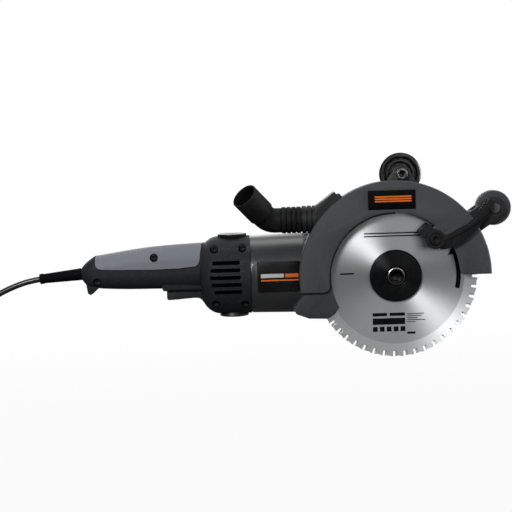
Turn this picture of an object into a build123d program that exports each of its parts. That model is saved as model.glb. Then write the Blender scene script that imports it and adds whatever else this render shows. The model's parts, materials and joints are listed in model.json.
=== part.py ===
from build123d import *
import math
import os

# A hand-held saw with two blades that turn opposite ways, side by side.
# Working frame: the motor axis runs along X and the spindle axis along Y, and they cross at zero.
# +X points to the blades, -Y is the blade side and +Z is up. All sizes are in millimetres.
# The files are written with the origin moved to the main grip.
GRIP_X = -262.0
GRIP_Z = 10.0

# Blades and what clamps them
BLADE_R = 82.5
BLADE_ROOT_R = 77.0
BLADE_TEETH = 48
TOOTH_DEG = 4.3
TOOTH_FALL = 1.2
INNER_TURN_DEG = -1.2
BLADE_T = 1.8
INNER_BLADE_Y = -58.0
BLADE_GAP = 0.5
INNER_BORE_R = 13.0
OUTER_BORE_R = 10.0
OUTER_BLADE_Y = INNER_BLADE_Y - BLADE_T - BLADE_GAP
OUTER_FACE_Y = OUTER_BLADE_Y - BLADE_T
FLANGE_R = 26.2
FLANGE_SEAT = 2.8
BLADE_SCREW_PCD_R = 18.0

# Bevel gears: one pinion between two facing gears
PINION_TEETH = 12
GEAR_TEETH = 42
PINION_R = 8.0
GEAR_R = PINION_R * GEAR_TEETH / PINION_TEETH
CONE = math.hypot(PINION_R, GEAR_R)
CONE_INNER = 22.0
ADDENDUM = 1.2
DEDENDUM = 1.5
TOOTH_SHARE = 0.36
FLANK_DEG = 20.0

# Fits: a push fit inside one body and a running fit between bodies
PUSH = 0.02
RUN = 0.05

# Spindles
INNER_SPINDLE_R = 6.0
HOLLOW_SPINDLE_R = 10.0
HOLLOW_BORE_R = 8.0
SPINDLE_FLANGE_R = 22.0

# Gear case
CASE_R = 41.0
CASE_WALL = 5.0
CASE_NEAR_Y = -40.0
CASE_FAR_Y = 24.0
NOSE_R = 27.0
NOSE_Y = -50.0
CASE_REAR_X = -91.0
CASE_SCREW_R = 34.4
COVER_SCREW_R = 38.5
COVER_Y = 30.0
LOCK_PIN_R = 2.5
LOCK_CAP_R = 7.0
LOCK_PIN_AT = 20.0

# Motor and its housing
MOTOR_REAR_X = -146.0
MOTOR_R = 40.6
MOTOR_FRONT_R = 41.8
MOTOR_WALL = 4.1
MOTOR_FLAT_Y = 38.6
PANEL = (-139.0, -95.0, -16.0, 16.0)
PANEL_T = 1.2
SEAM = (0.9, 0.6)
BRUSH_X = -164.5
BRUSH_CAP_R = 15.8
BRUSH_CAP_FOOT_R = 13.0
BRUSH_CAP_Z = 43.3
COMMUTATOR_R = 12.5
SHAFT_R = 6.0
SHAFT_FRONT_R = 3.5
SHAFT_REAR_R = 4.0
STACK_X = (-142.0, -106.0)
STATOR_R = 36.2
ARMATURE_R = 21.0

# Handle: sections along X, each with its lowest and highest z and its half width
HANDLE_SECTIONS = (
    (-323.5, -0.2, 12.4, 8.5),
    (-318.5, -6.6, 17.8, 12.8),
    (-309.5, -9.8, 24.1, 15.8),
    (-283.0, -11.6, 27.9, 17.3),
    (-252.0, -12.3, 31.7, 18.1),
    (-219.0, -12.7, 33.8, 19.3),
    (-186.0, -14.0, 35.0, 22.6),
)
HANDLE_END_SECTIONS = 3
HANDLE_WALL = 3.4
PAD_T = 1.8
PAD_GAP = 0.5
PAD_CORNER_R = 7.0
REAR_R = 41.0
REAR_SHOULDER_X = -198.0
REAR_SHOULDER_R = 19.0
SLOTS = (
    (15.6, -185.0, -156.5),
    (8.1, -187.0, -156.5),
    (0.6, -187.5, -156.3),
    (-6.9, -186.3, -155.5),
    (-14.5, -183.7, -155.2),
)
SLOT_H = 4.0
SLOT_CORE_R = 31.0
SHELL_SCREWS = (
    (-183.0, 29.1, -20.8),
    (-153.8, 29.6, -21.5),
    (-182.5, -27.2, -23.2),
    (-152.7, -28.3, -22.8),
    (-246.3, 21.6, -12.2),
    (-306.5, -2.4, -9.8),
)
SCREW_WELL_R = 4.2
SCREW_COLUMN_R = 5.0
SCREW_HEAD_R = 3.6
LOWER_SHOULDER = (
    (-197.7, -21.0),
    (-195.3, -27.8),
    (-191.7, -32.7),
    (-187.2, -36.6),
    (-181.0, -39.3),
    (-168.0, -41.3),
)
TRIGGER_PIVOT = (-201.5, -9.0)
TRIGGER_HALF = 8.6
LOCK_OFF = (-254.0, 2.0)

# Guard
GUARD_R = 96.1
GUARD_RIM_R = 95.7
GUARD_AT = (-1.0, -0.3)
GUARD_WALL = 3.0
GUARD_OPEN_R = 65.5
GUARD_OPEN_AT = (-2.0, -1.2)
GUARD_LIP = 1.7
GUARD_NEAR_Y = -73.0
GUARD_FAR_Y = -47.0
GUARD_LEFT_Z = -13.7
GUARD_POST_R = 89.6
GUARD_POST_DEG = (10.0, 62.0, 118.0, 168.0)
HEEL_SCREWS = ((-84.0, -6.0), (-71.0, -6.0))
NOSE_RING_R = 38.0
NOSE_SCREW_R = 31.5
NOSE_SCREW_DEG = (30.0, 150.0, 210.0, 330.0)
HEEL_OUTLINE = (
    (-91.4, -14.5),
    (-103.8, -30.2),
    (-101.0, -35.3),
    (-88.5, -40.0),
    (-70.5, -40.7),
    (-67.2, -39.2),
    (-63.2, -36.8),
    (-61.2, -34.6),
    (-58.1, -29.7),
)
HEEL_INSIDE = ((-88.0, -14.5), (-99.7, -29.2), (-98.6, -32.4), (-86.6, -37.0))
HEEL_OPEN_R = 65.2
HEEL_NEAR_Y = (-69.8, -66.4)
HEEL_FAR_Y = (-53.4, -50.1)
BADGE_X = -3.5
BADGE_Z = 76.6
BADGE_SIZE = (46.9, 1.6, 18.6)

# Dust pipe and elbow
PIPE_Y = -58.0
PIPE_Z = 59.0
PIPE_R = 12.4
PIPE_BORE_R = 10.9
SPIGOT_BORE_R = 9.3
RIB_H = 0.9
SPIGOT_RIB_H = 1.5
RIB_HALF = 1.9
RIB_STEP = 5.0
CUFF_RIBS = 4
SPIGOT_RIBS = (-90.4, -85.4, -80.4)
ELBOW_JOINT_X = -93.7
ELBOW_BEND_X = -126.2
ELBOW_OUT = Vector(-0.581, -0.49, 0.65).normalized()
ELBOW_OUT_LENGTH = 40.6
ELBOW_BEND_R = 14.0
MOUTH_R = 13.7
MOUTH_BORE_R = 12.1
MOUTH_DEPTH = 16.0
MOUTH_LENGTH = 28.0

# Side grip
SIDE_GRIP_X = 9.5
SIDE_GRIP_Z = 101.5
SIDE_BOLT_R = 6.0
SIDE_GRIP_LEAN = 7.0
BRACKET_Y = (-46.8, -40.2)

# Dial, lever and pad at the front of the guard
DIAL_DEG = 33.45
DIAL_AT = 118.5
DIAL_R = 17.5
DIAL_TEETH = 56
DIAL_NOTCH_R = 0.75
DIAL_PIN_R = 3.0
FORK_HALF = 11.0
FORK_Y = (-71.0, -49.0)
FORK_T = 3.4
LEVER_X = 38.4
LEVER_Z = 36.5
LEVER_RIB_TOP = (
    (44.8, 39.3),
    (51.7, 40.8),
    (61.9, 45.6),
    (72.3, 51.2),
    (79.2, 56.9),
    (83.7, 62.7),
    (88.0, 68.5),
    (90.7, 73.1),
)
LEVER_RIB_LOW = (
    (45.9, 35.0),
    (53.2, 37.0),
    (63.5, 42.2),
    (73.9, 48.0),
    (80.8, 52.4),
    (86.8, 57.2),
    (91.2, 62.8),
    (94.4, 69.2),
    (95.4, 72.5),
)
LEVER_WEB_LOW = (
    (43.2, 26.0),
    (48.3, 26.4),
    (56.0, 28.4),
    (64.6, 32.5),
    (74.1, 39.2),
    (80.4, 45.6),
    (86.8, 55.0),
)
THUMB_FROM = (82.9, 61.8)
THUMB_STEP = 2.4
THUMB_DEG = 52.0
LEVER_Y = (-80.5, -73.6)
LEVER_DEG = 42.4
LEVER_BOSS_R = 9.4
LEVER_PIN_R = 3.0
PAD_REACH = (10.4, 17.2)
PAD_SIDES = (-5.6, 6.8)
PAD_END_Y = -63.2

# Strain relief and cord; the route is in X and Z, at y = 0
RELIEF_ROOT = (-323.0, 5.5)
RELIEF_DEG = 5.15
RELIEF_LENGTH = 45.7
RELIEF_NECK_R = 5.2
CORD_R = 3.15
CORD_ROUTE = (
    (-368.5, 1.4),
    (-390.0, -3.0),
    (-416.0, -14.2),
    (-444.5, -33.0),
    (-466.5, -56.0),
    (-477.0, -85.0),
    (-477.0, -111.4),
    (-467.1, -128.7),
    (-451.5, -137.7),
)
COIL_X = -469.0
COIL_Z = -168.0
COIL_MEAN_R = 35.0
COIL_HALF = (10.0, 13.0)
TAIL_ROUTE = ((-436.1, -180.0), (-442.2, -197.0), (-442.2, -215.0))
PLUG_LENGTH = 38.0
PLUG_PIN_R = 2.4
PLUG_PIN_SPACING = 19.0
PLUG_PIN_LENGTH = 19.0


def rod_x(radius, x0, x1, y=0.0, z=0.0):
    return Pos((x0 + x1) / 2, y, z) * Rot(0, 90, 0) * Cylinder(radius, x1 - x0)


def rod_y(radius, y0, y1, x=0.0, z=0.0):
    return Pos(x, (y0 + y1) / 2, z) * Rot(90, 0, 0) * Cylinder(radius, y1 - y0)


def rod_z(radius, z0, z1, x=0.0, y=0.0):
    return Pos(x, y, (z0 + z1) / 2) * Cylinder(radius, z1 - z0)


def block(x0, x1, y0, y1, z0, z1):
    return Pos((x0 + x1) / 2, (y0 + y1) / 2, (z0 + z1) / 2) * Box(x1 - x0, y1 - y0, z1 - z0)


def polygon(*points):
    return make_face(Polyline(*points, close=True))


def slab(sketch, y0, y1):
    """A sketch drawn in X and Z, made solid from y0 to y1."""
    return extrude(Plane((0, y1, 0), x_dir=(1, 0, 0), z_dir=(0, -1, 0)) * sketch, amount=y1 - y0)


def turned_x(*points):
    """Points are (x, radius)."""
    return revolve(polygon(*points), Axis.X)


def turned_y(*points):
    """Points are (radius, y)."""
    return revolve(polygon(*points), Axis.Y)


def spread(radius, degrees):
    """Places on a circle round zero, at the given angles."""
    return [(radius * math.cos(math.radians(a)), radius * math.sin(math.radians(a))) for a in degrees]


def hex_socket(across, y0, y1, x=0.0, z=0.0):
    return slab(Pos(x, z) * RegularPolygon(across / math.sqrt(3), 6), y0, y1)


def screw_y(x, z, seat_y, tip_y, shank_r, head_r, head_h):
    """A pan head screw along +Y with a cross slot; its head stands on the -Y side of the seat."""
    top = seat_y - head_h
    reach = head_r * 0.6
    cross = block(-reach, reach, top, top + head_h * 0.5, -0.4, 0.4)
    cross += block(-0.4, 0.4, top, top + head_h * 0.5, -reach, reach)
    head = rod_y(head_r, top, seat_y) - cross
    return Pos(x, 0, z) * (head + rod_y(shank_r, seat_y, tip_y))


# Blades

def blade(y0, bore_r, turn, first_r, last_r):
    """A flat toothed disc from y0 towards the blade side; each tooth falls from its cutting end to its back."""
    pitch = 360 / BLADE_TEETH
    gullet = (TOOTH_DEG + 0.2, pitch - 0.2)
    corners = ((first_r, 0), (last_r, TOOTH_DEG), (BLADE_ROOT_R, gullet[0]), (BLADE_ROOT_R, gullet[1]))
    points = []
    for tooth in range(BLADE_TEETH):
        for radius, degrees in corners:
            angle = math.radians(turn + tooth * pitch + degrees)
            points.append((radius * math.cos(angle), radius * math.sin(angle)))
    return slab(polygon(*points) - Circle(bore_r), y0 - BLADE_T, y0)


def blade_screw_places():
    return spread(BLADE_SCREW_PCD_R, (45, 135, 225, 315))


def inner_blade():
    disc = blade(INNER_BLADE_Y, INNER_BORE_R, INNER_TURN_DEG, BLADE_R, BLADE_R - TOOTH_FALL)
    near = INNER_BLADE_Y - BLADE_T
    for x, z in blade_screw_places():
        disc -= Pos(x, 0, z) * turned_y((0, INNER_BLADE_Y), (2.1, INNER_BLADE_Y), (3.6, near), (0, near))
    return disc


def inner_blade_screws():
    """Countersunk screws, flush with the inner blade."""
    near = INNER_BLADE_Y - BLADE_T
    tip = INNER_BLADE_Y + 5
    screw = turned_y((0, tip), (1.9, tip), (1.9, INNER_BLADE_Y), (3.3, near + 0.2), (0, near + 0.2))
    screw -= hex_socket(2.5, near, near + 1.2)
    return Part() + [Pos(x, 0, z) * screw for x, z in blade_screw_places()]


def outer_blade():
    return blade(OUTER_BLADE_Y, OUTER_BORE_R, 0, BLADE_R - TOOTH_FALL, BLADE_R)


def clamp_flange():
    """Dished black disc that clamps the outer blade, with a well for the bolt's head."""
    y = OUTER_FACE_Y
    seat = y - FLANGE_SEAT
    return turned_y((5.05, y), (FLANGE_R, y), (FLANGE_R, y - 3.0), (24.8, y - 4.0), (11.8, y - 6.6),
                    (9.8, y - 6.6), (9.8, seat), (5.05, seat))


def clamp_bolt():
    y = OUTER_FACE_Y - FLANGE_SEAT
    head = turned_y((0, y), (9.3, y), (9.3, y - 2.8), (8.1, y - 3.6), (0, y - 3.6))
    return head - hex_socket(9.4, y - 3.7, y - 0.8) + rod_y(5.0, y, OUTER_BLADE_Y + 18.0)


# Spindles and bevel gears

def hollow_spindle():
    y = INNER_BLADE_Y
    spigot_r = INNER_BORE_R - PUSH
    body = turned_y((HOLLOW_BORE_R, -7.5), (HOLLOW_SPINDLE_R, -7.5), (HOLLOW_SPINDLE_R, y + 6),
                    (SPINDLE_FLANGE_R, y + 6), (SPINDLE_FLANGE_R, y), (spigot_r, y), (spigot_r, y - 0.7),
                    (HOLLOW_BORE_R, y - 0.7))
    for x, z in blade_screw_places():
        body -= rod_y(1.95, y - 1, y + 5.2, x, z)
    return body


def spindle_bushes():
    """Bronze bushes pressed in the hollow spindle, in which the inner spindle runs."""
    front = rod_y(HOLLOW_BORE_R - PUSH, -57.0, -45.0) - rod_y(INNER_SPINDLE_R + RUN, -58, -44)
    back = rod_y(HOLLOW_BORE_R - PUSH, -20.0, -8.0) - rod_y(INNER_SPINDLE_R + RUN, -21, -7)
    return front + back


def inner_spindle():
    """Shaft through the hollow spindle, with the collar that carries the outer blade."""
    y = OUTER_BLADE_Y
    end = y - BLADE_T + 0.2
    collar_r = INNER_BORE_R - 0.6
    spigot_r = OUTER_BORE_R - PUSH
    body = turned_y((0, 34.0), (INNER_SPINDLE_R, 34.0), (INNER_SPINDLE_R, y + 1.3), (collar_r, y + 1.3),
                    (collar_r, y), (spigot_r, y), (spigot_r, end), (0, end))
    return body - rod_y(5.02, y - BLADE_T, y + 18.5)


def tooth(element, outward):
    """One straight bevel tooth that tapers towards the crossing of the axes."""
    half = TOOTH_SHARE * math.pi * PINION_R / PINION_TEETH
    slope = math.tan(math.radians(FLANK_DEG))
    root = -DEDENDUM - 0.5
    sides = Vector(0, 0, 1)
    profile = ((root, half - root * slope), (ADDENDUM, half - ADDENDUM * slope))
    corners = [element * CONE + outward * h + sides * w for h, w in profile]
    corners += [element * CONE + outward * h - sides * w for h, w in reversed(profile)]
    ends = [polygon(*[c * share for c in corners]) for share in (1, CONE_INNER / CONE)]
    return loft(ends, ruled=True)


def cone_directions(near):
    """Direction of the pitch line on the pinion's side, and the gear's outward direction there."""
    side = -1 if near else 1
    element = Vector(-GEAR_R, side * PINION_R, 0).normalized()
    outward = Vector(-PINION_R, -side * GEAR_R, 0).normalized()
    return element, outward


def bevel_gear(near, profile):
    """A gear blank with its teeth; the pinion starts in a gap between two of them."""
    element, outward = cone_directions(near)
    one = tooth(element, outward)
    pitch = 360 / GEAR_TEETH
    return turned_y(*profile) + [Rot(0, (n + 0.5) * pitch, 0) * one for n in range(GEAR_TEETH)]


def gear_rim(side):
    """Root points of the gear's face and the corner behind them, as (radius, y)."""
    outward = (PINION_R / CONE, GEAR_R / CONE)
    root = (GEAR_R - DEDENDUM * outward[0], PINION_R + DEDENDUM * outward[1])
    share = CONE_INNER / CONE
    back = (root[0] - 4 * outward[0], root[1] + 4 * outward[1])
    return [(root[0] * share, side * root[1] * share), (root[0], side * root[1]), (back[0], side * back[1])]


def near_bevel_gear():
    bore = HOLLOW_SPINDLE_R + PUSH
    return bevel_gear(True, [(bore, -7.6)] + gear_rim(-1) + [(20.0, -17.0), (15.0, -20.0), (bore, -20.0)])


def far_bevel_gear():
    bore = INNER_SPINDLE_R + PUSH
    gear = bevel_gear(False, [(bore, 7.6)] + gear_rim(1) + [(25.0, 18.0), (bore, 18.0)])
    for x, z in spread(LOCK_PIN_AT, (0, 90, 180, 270)):
        gear -= rod_y(LOCK_PIN_R + 0.5, 13.0, 18.5, x, z)
    return gear


def drive_pinion():
    element, outward = cone_directions(True)
    root = (element.X * CONE + DEDENDUM * outward.X, PINION_R - DEDENDUM * outward.Y)
    share = CONE_INNER / CONE
    bore = SHAFT_FRONT_R + PUSH
    inner = (root[0] * share, root[1] * share)
    blank = turned_x((-44, bore), (-44, 7.5), (-30.5, 7.5), root, inner, (inner[0], bore))
    one = tooth(element, outward * -1)
    return blank + [Rot(n * 360 / PINION_TEETH, 0, 0) * one for n in range(PINION_TEETH)]


# Armature

def armature_shaft():
    return turned_x((-190, 0), (-190, SHAFT_REAR_R), (-176, SHAFT_REAR_R), (-176, SHAFT_R), (-44, SHAFT_R),
                    (-44, SHAFT_FRONT_R), (-22, SHAFT_FRONT_R), (-22, 0))


def armature_core():
    """Slotted stack of laminations."""
    core = rod_x(ARMATURE_R, -141, -108) - rod_x(SHAFT_R + PUSH, -142, -107)
    slot = block(-142, -107, -1.2, 1.2, 14.0, 22.0)
    for n in range(12):
        core -= Rot(n * 30, 0, 0) * slot
    return core


def armature_windings():
    bore = SHAFT_R + 2.5
    rear = turned_x((-149, bore), (-147, 17), (-141.1, 19), (-141.1, bore))
    front = turned_x((-107.9, bore), (-107.9, 19), (-102.5, 17), (-101, bore))
    return rear + front


def commutator():
    ring = rod_x(COMMUTATOR_R, -171, -157) - rod_x(SHAFT_R + PUSH, -172, -156)
    gap = block(-171.5, -159, -0.3, 0.3, COMMUTATOR_R - 1, COMMUTATOR_R + 1)
    for n in range(24):
        ring -= Rot(n * 15, 0, 0) * gap
    return ring


def cooling_fan():
    hub = rod_x(11, -98, -86) - rod_x(SHAFT_R + PUSH, -99, -85)
    disc = rod_x(27.5, -98, -96.4) - rod_x(10, -99, -95)
    vane = block(-96.5, -86, -0.8, 0.8, 10.5, 27.0)
    return hub + disc + [Rot(n * 40, 0, 0) * vane for n in range(9)]


def ball_bearings():
    """One ring each: armature front and rear, hollow spindle, and the inner spindle's rear end."""
    front = rod_x(16, -60, -50) - rod_x(SHAFT_R + RUN, -61, -49)
    groove = rod_x(13, -61, -59.4) - rod_x(9, -62, -59)
    rear = rod_x(11, -188.5, -183.5) - rod_x(SHAFT_REAR_R + RUN, -190, -182)
    spindle = rod_y(21, -48, -36) - rod_y(HOLLOW_SPINDLE_R + RUN, -50, -34)
    spindle -= rod_y(18, -48.5, -47.4) - rod_y(13, -49, -47)
    back = rod_y(14, 24.3, 34) - rod_y(INNER_SPINDLE_R + RUN, 24, 35)
    return (front - groove) + rear + spindle + back


# Stator and brushes

def stator():
    """Ring with two pole shoes."""
    ring = rod_x(STATOR_R, *STACK_X) - rod_x(30, -143, -105)
    shoe = rod_x(30.5, *STACK_X) - rod_x(ARMATURE_R + 1.5, -143, -105)
    shoe &= block(-143, -105, -20, 20, 10, 40)
    return ring + shoe + mirror(shoe, Plane.XY)


def field_coils():
    """End turns of the field coils, seen past both ends of the stator."""
    turn = (rod_x(34, -147, STACK_X[0] - 0.1) - rod_x(25, -148, -141)) & block(-150, -140, -22, 22, 12, 40)
    rear = turn + mirror(turn, Plane.XY)
    return rear + mirror(rear, Plane.YZ.offset(sum(STACK_X) / 2))


def brush_pair(one):
    return one + mirror(one, Plane.XY)


def brush_holders():
    tube = block(-4.5, 4.5, -4.5, 4.5, 16, 35) - block(-3.2, 3.2, -3.2, 3.2, 15, 36)
    return brush_pair(Pos(BRUSH_X, 0, 0) * tube)


def carbon_brushes():
    brush = block(BRUSH_X - 3.1, BRUSH_X + 3.1, -3.1, 3.1, COMMUTATOR_R - 1, 26)
    return brush_pair(brush - rod_x(COMMUTATOR_R + 0.3, -172, -156))


def brush_springs():
    """Each spring is a thin sleeve of the coil's outer size."""
    return brush_pair(rod_z(2.6, 26.1, 35.8, BRUSH_X) - rod_z(1.8, 26, 36, BRUSH_X))


def brush_cap_form(grow=0.0):
    """Cap that widens towards its outer end."""
    low, high = 36.0 - grow, BRUSH_CAP_Z + grow
    cone = Cone(BRUSH_CAP_FOOT_R + grow, BRUSH_CAP_R + grow, high - low)
    return Pos(BRUSH_X, 0, (low + high) / 2) * cone


def brush_caps():
    """Round caps with a coin slot and a rounded rim."""
    cap = fillet(brush_cap_form().edges().sort_by(Axis.Z)[-1], 1.2)
    cap -= block(BRUSH_X - 7, BRUSH_X + 7, -1.1, 1.1, BRUSH_CAP_Z - 1.6, BRUSH_CAP_Z + 1)
    return brush_pair(cap)


# Motor housing and handle shells

def motor_housing():
    """Tapered barrel with flat sides, sunk panels and a thick front ring for the screws."""
    barrel = turned_x((MOTOR_REAR_X, 0), (MOTOR_REAR_X, MOTOR_R), (CASE_REAR_X, MOTOR_FRONT_R),
                      (CASE_REAR_X, 0))
    seam_wide, seam_deep = SEAM
    barrel -= rod_x(60, MOTOR_REAR_X - 1, MOTOR_REAR_X + seam_wide) - rod_x(MOTOR_R - seam_deep, -152, -140)
    barrel &= block(-152, -80, -MOTOR_FLAT_Y, MOTOR_FLAT_Y, -60, 60)
    barrel -= rod_x(MOTOR_R - MOTOR_WALL, MOTOR_REAR_X - 1, -101)
    barrel -= rod_x(29, -102, CASE_REAR_X + 1)
    barrel -= side_panels(0.1)
    for y, z in case_screw_places():
        barrel -= rod_x(2.05, -101.5, CASE_REAR_X + 1, y, z)
    return barrel


def side_panels(grow=0.0):
    x0, x1, z0, z1 = PANEL
    deep = PANEL_T - MOTOR_FLAT_Y + grow * 0.2
    near = block(x0 - grow, x1 + grow, -MOTOR_FLAT_Y, deep, z0 - grow, z1 + grow)
    near = fillet(near.edges().filter_by(Axis.Y), 2.0)
    return near + mirror(near, Plane.XZ)


def handle_form(inset):
    """Outer form of the grip with its rounded rear end, or its hollow when inset."""
    sections = []
    for n, (x, low, high, half) in enumerate(HANDLE_SECTIONS):
        width = 2 * (half - inset)
        height = high - low - 2 * inset
        shift = inset if n == 0 else 0
        place = Plane((x + shift, 0, (low + high) / 2), x_dir=(0, 1, 0), z_dir=(1, 0, 0))
        sections.append(place * RectangleRounded(width, height, 0.44 * min(width, height)))
    return loft(sections[:HANDLE_END_SECTIONS]) + loft(sections[HANDLE_END_SECTIONS - 1:])


def rear_form(inset):
    """Round rear housing with a rounded shoulder towards the grip."""
    radius = REAR_R - inset
    x0 = REAR_SHOULDER_X + inset
    corner = REAR_SHOULDER_R
    front = MOTOR_REAR_X + (1 if inset else 0)
    outline = Polyline((x0, 0), (x0, radius - corner))
    outline += RadiusArc((x0, radius - corner), (x0 + corner, radius), corner)
    outline += Polyline((x0 + corner, radius), (front, radius), (front, 0), (x0, 0))
    return revolve(make_face(outline), Axis.X)


def tier_form(inset):
    """Deeper part of the grip round the trigger, with its rear corner cut."""
    rear, low = -239.2 + inset, -14.4 + inset
    side = polygon((rear, 4.0), (rear, low + 3.4), (rear + 1.6, low), (-192.0, low), (-192.0, 4.0))
    tier = slab(side, inset - 14.0, 14.0 - inset)
    return fillet(tier.edges().filter_by(Axis.X), 2.6)


def hook_form():
    """Small lip under the rear of the grip."""
    side = polygon((-319.0, -5.0), (-317.4, -14.6), (-314.6, -16.6), (-311.5, -14.4), (-308.0, -11.0),
                   (-304.0, -8.0), (-310.0, 0.0))
    tip = [v for v in side.vertices() if v.Y < -12]
    return slab(fillet(tip, 1.3), -9, 9)


def below_shoulder():
    """What is cut off the lower corner of the rear housing, behind the trigger."""
    first, last = LOWER_SHOULDER[0], LOWER_SHOULDER[-1]
    corner = Spline(*LOWER_SHOULDER) + Polyline(last, (last[0], -60), (-215, -60), (-215, first[1]), first)
    return slab(make_face(corner), -60, 60)


def pad_outline(grow=0.0):
    face = polygon((-309.9, 50.0), (-308.0, 10.9), (-286.4, 10.0), (-249.2, 9.2), (-219.3, 10.0),
                   (-199.6, 12.0), (-194.5, 50.0))
    corners = [v for v in face.vertices() if v.Y < 12.5 and not -300 < v.X < -210]
    face = fillet(corners, PAD_CORNER_R)
    return offset(face, amount=grow) if grow else face


def grip_pad():
    """Soft pad set into the near half, from the top down to its curved lower edge."""
    layer = handle_form(0) - handle_form(PAD_T) - rear_form(0)
    return layer & slab(pad_outline(), -60, 0)


def shell_body():
    """Both halves of the handle in one, before they are parted."""
    outer = handle_form(0) + tier_form(0) + hook_form() + rear_form(0) - below_shoulder()
    hollow = handle_form(HANDLE_WALL) + tier_form(2.4) + rear_form(HANDLE_WALL)
    columns = Part()
    for x, z, seat in SHELL_SCREWS:
        columns += rod_y(SCREW_COLUMN_R, -60, 60, x, z)
    bulkhead = rod_x(60, -188.5, -183.5) - rod_x(11 + PUSH, -190, -182)
    for side in (-1, 1):
        bulkhead -= block(-190, -182, side * 22 - 6, side * 22 + 6, -9, 9)
    body = outer - hollow + ((columns + bulkhead) & outer)
    layer = handle_form(-1) - handle_form(PAD_T + 0.05) - rear_form(0.05)
    body -= slab(pad_outline(PAD_GAP), -60, 60) & layer
    body -= rod_y(2.3, -12.6, 12.6, *TRIGGER_PIVOT)
    body -= block(-236.6, -196.4, -9.2, 9.2, -20, -2)
    body -= relief_place() * rod_x(RELIEF_NECK_R + 0.1, -3.0, 12.0)
    for z, x0, x1 in SLOTS:
        slot = fillet(block(x0, x1, -60, 60, z - SLOT_H / 2, z + SLOT_H / 2).edges().filter_by(Axis.Y), 1.2)
        body -= slot - rod_x(SLOT_CORE_R, -200, -140)
    return body - brush_pair(brush_cap_form(0.4))


def screw_wells():
    """Clearance holes and head wells of the shell screws, from the near side."""
    wells = Part()
    for x, z, seat in SHELL_SCREWS:
        wells += rod_y(2.1, -60, 1, x, z) + rod_y(SCREW_WELL_R, -60, seat, x, z)
    return wells


def handle_shell_near(body):
    return (body & block(-400, -100, -80, 0, -100, 100)) - screw_wells()


def handle_shell_far(body):
    half = body & block(-400, -100, 0, 80, -100, 100)
    for x, z, seat in SHELL_SCREWS:
        half -= rod_y(1.75, -1, 12.2, x, z)
    return half - rod_y(5.4, 8, 60, *LOCK_OFF)


def shell_screws():
    group = Part()
    for x, z, seat in SHELL_SCREWS:
        group += screw_y(x, z, seat, 12.0, 1.7, SCREW_HEAD_R, 2.2)
    return group


# Switch, trigger and cord entry

def power_switch():
    """Switch block with two terminals on its top."""
    body = block(-236, -206, -8, 8, 1.6, 17)
    return body + block(-234, -229, -3, 3, 17, 20) + block(-214, -209, -3, 3, 17, 20)


def trigger():
    """Finger lever with its own trunnions and a curved front end under the housing's shoulder."""
    x, z = TRIGGER_PIVOT
    side = polygon((-234.6, -24.4), (-224.2, -24.0), (-214.5, -23.2), (-206.0, -22.7), (-202.3, -22.8),
                   (-199.9, -23.5), (-197.9, -25.2), (-196.4, -27.6), (-198.4, -21.0), (-197.6, -16.0),
                   (-198.0, -9.0), (x, z + 4.4), (-234.8, -8.0))
    rear_corner = [v for v in side.vertices() if v.X < -230 and v.Y < -20]
    lever = slab(fillet(rear_corner, 2.2), -TRIGGER_HALF, TRIGGER_HALF)
    return lever + rod_y(2.2, -12.4, 12.4, x, z)


def lock_off_button():
    """Thumb button on the far side, with a rim that keeps it in."""
    return rod_y(5.2, 7.4, 21.5, *LOCK_OFF) + rod_y(7.0, 7.4, 9.4, *LOCK_OFF)


def cord_clamp():
    """Bar over the cord's end, with its two screws."""
    bar = block(-297, -288, -10.5, 10.5, 1.0, 5.0)
    bar += rod_z(2.4, 5.0, 7.0, -292.5, -7.5) + rod_z(2.4, 5.0, 7.0, -292.5, 7.5)
    return bar


def relief_place():
    return Pos(RELIEF_ROOT[0], 0, RELIEF_ROOT[1]) * Rot(0, -RELIEF_DEG, 0)


def strain_relief():
    """Tapered sleeve with a collar at its end and a neck held in the handle."""
    end = -RELIEF_LENGTH
    body = turned_x((9.5, 0), (9.5, RELIEF_NECK_R), (-1.3, RELIEF_NECK_R), (-1.3, 6.4), (end + 4.5, 5.0),
                    (end + 4.0, 5.5), (end, 5.4), (end, 0))
    return relief_place() * body


def cord_tube(route):
    """A round tube along straight runs joined by the largest arcs that fit."""
    points = [Vector(x, 0, z) for x, z in route]
    radii = []
    for before, here, after in zip(points, points[1:], points[2:]):
        turn = math.radians((here - before).get_angle(after - here))
        run = min((here - before).length, (after - here).length)
        radii.append(0.45 * run / math.tan(turn / 2))
    path = FilletPolyline(*points, radius=radii)
    tube = sweep(Plane(path @ 0, z_dir=path % 0) * Circle(CORD_R), path=path)
    print("cord radii", [round(r) for r in radii], "length", round(path.length, 1),
          "volume", round(tube.volume), "against", round(path.length * math.pi * CORD_R ** 2))
    return tube


def cord_coil():
    """Outer shape of the tied coil, a ring with its edges cut."""
    r0, r1 = COIL_MEAN_R - COIL_HALF[0], COIL_MEAN_R + COIL_HALF[0]
    y, cut = COIL_HALF[1], 4.0
    ring = turned_y((r0, -y + cut), (r0 + cut, -y), (r1 - cut, -y), (r1, -y + cut), (r1, y - cut),
                    (r1 - cut, y), (r0 + cut, y), (r0, y - cut))
    return Pos(COIL_X, 0, COIL_Z) * ring


def plug_place():
    """Local -X runs out of the cord's end."""
    (x0, z0), (x1, z1) = TAIL_ROUTE[-2:]
    return Pos(x1, 0, z1) * Rot(0, math.degrees(math.atan2(z0 - z1, x1 - x0)) - 180, 0)


def mains_plug():
    """Round two-pin plug with a tapered neck."""
    end = -PLUG_LENGTH
    body = turned_x((0, 0), (0, 4.6), (-16, 6.5), (-19, 12), (-22, 16.5), (end + 2, 17.5), (end, 16.5),
                    (end, 0))
    sides = block(-60, 10, -13.5, 13.5, -30, 30)
    return plug_place() * (body & sides)


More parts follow.
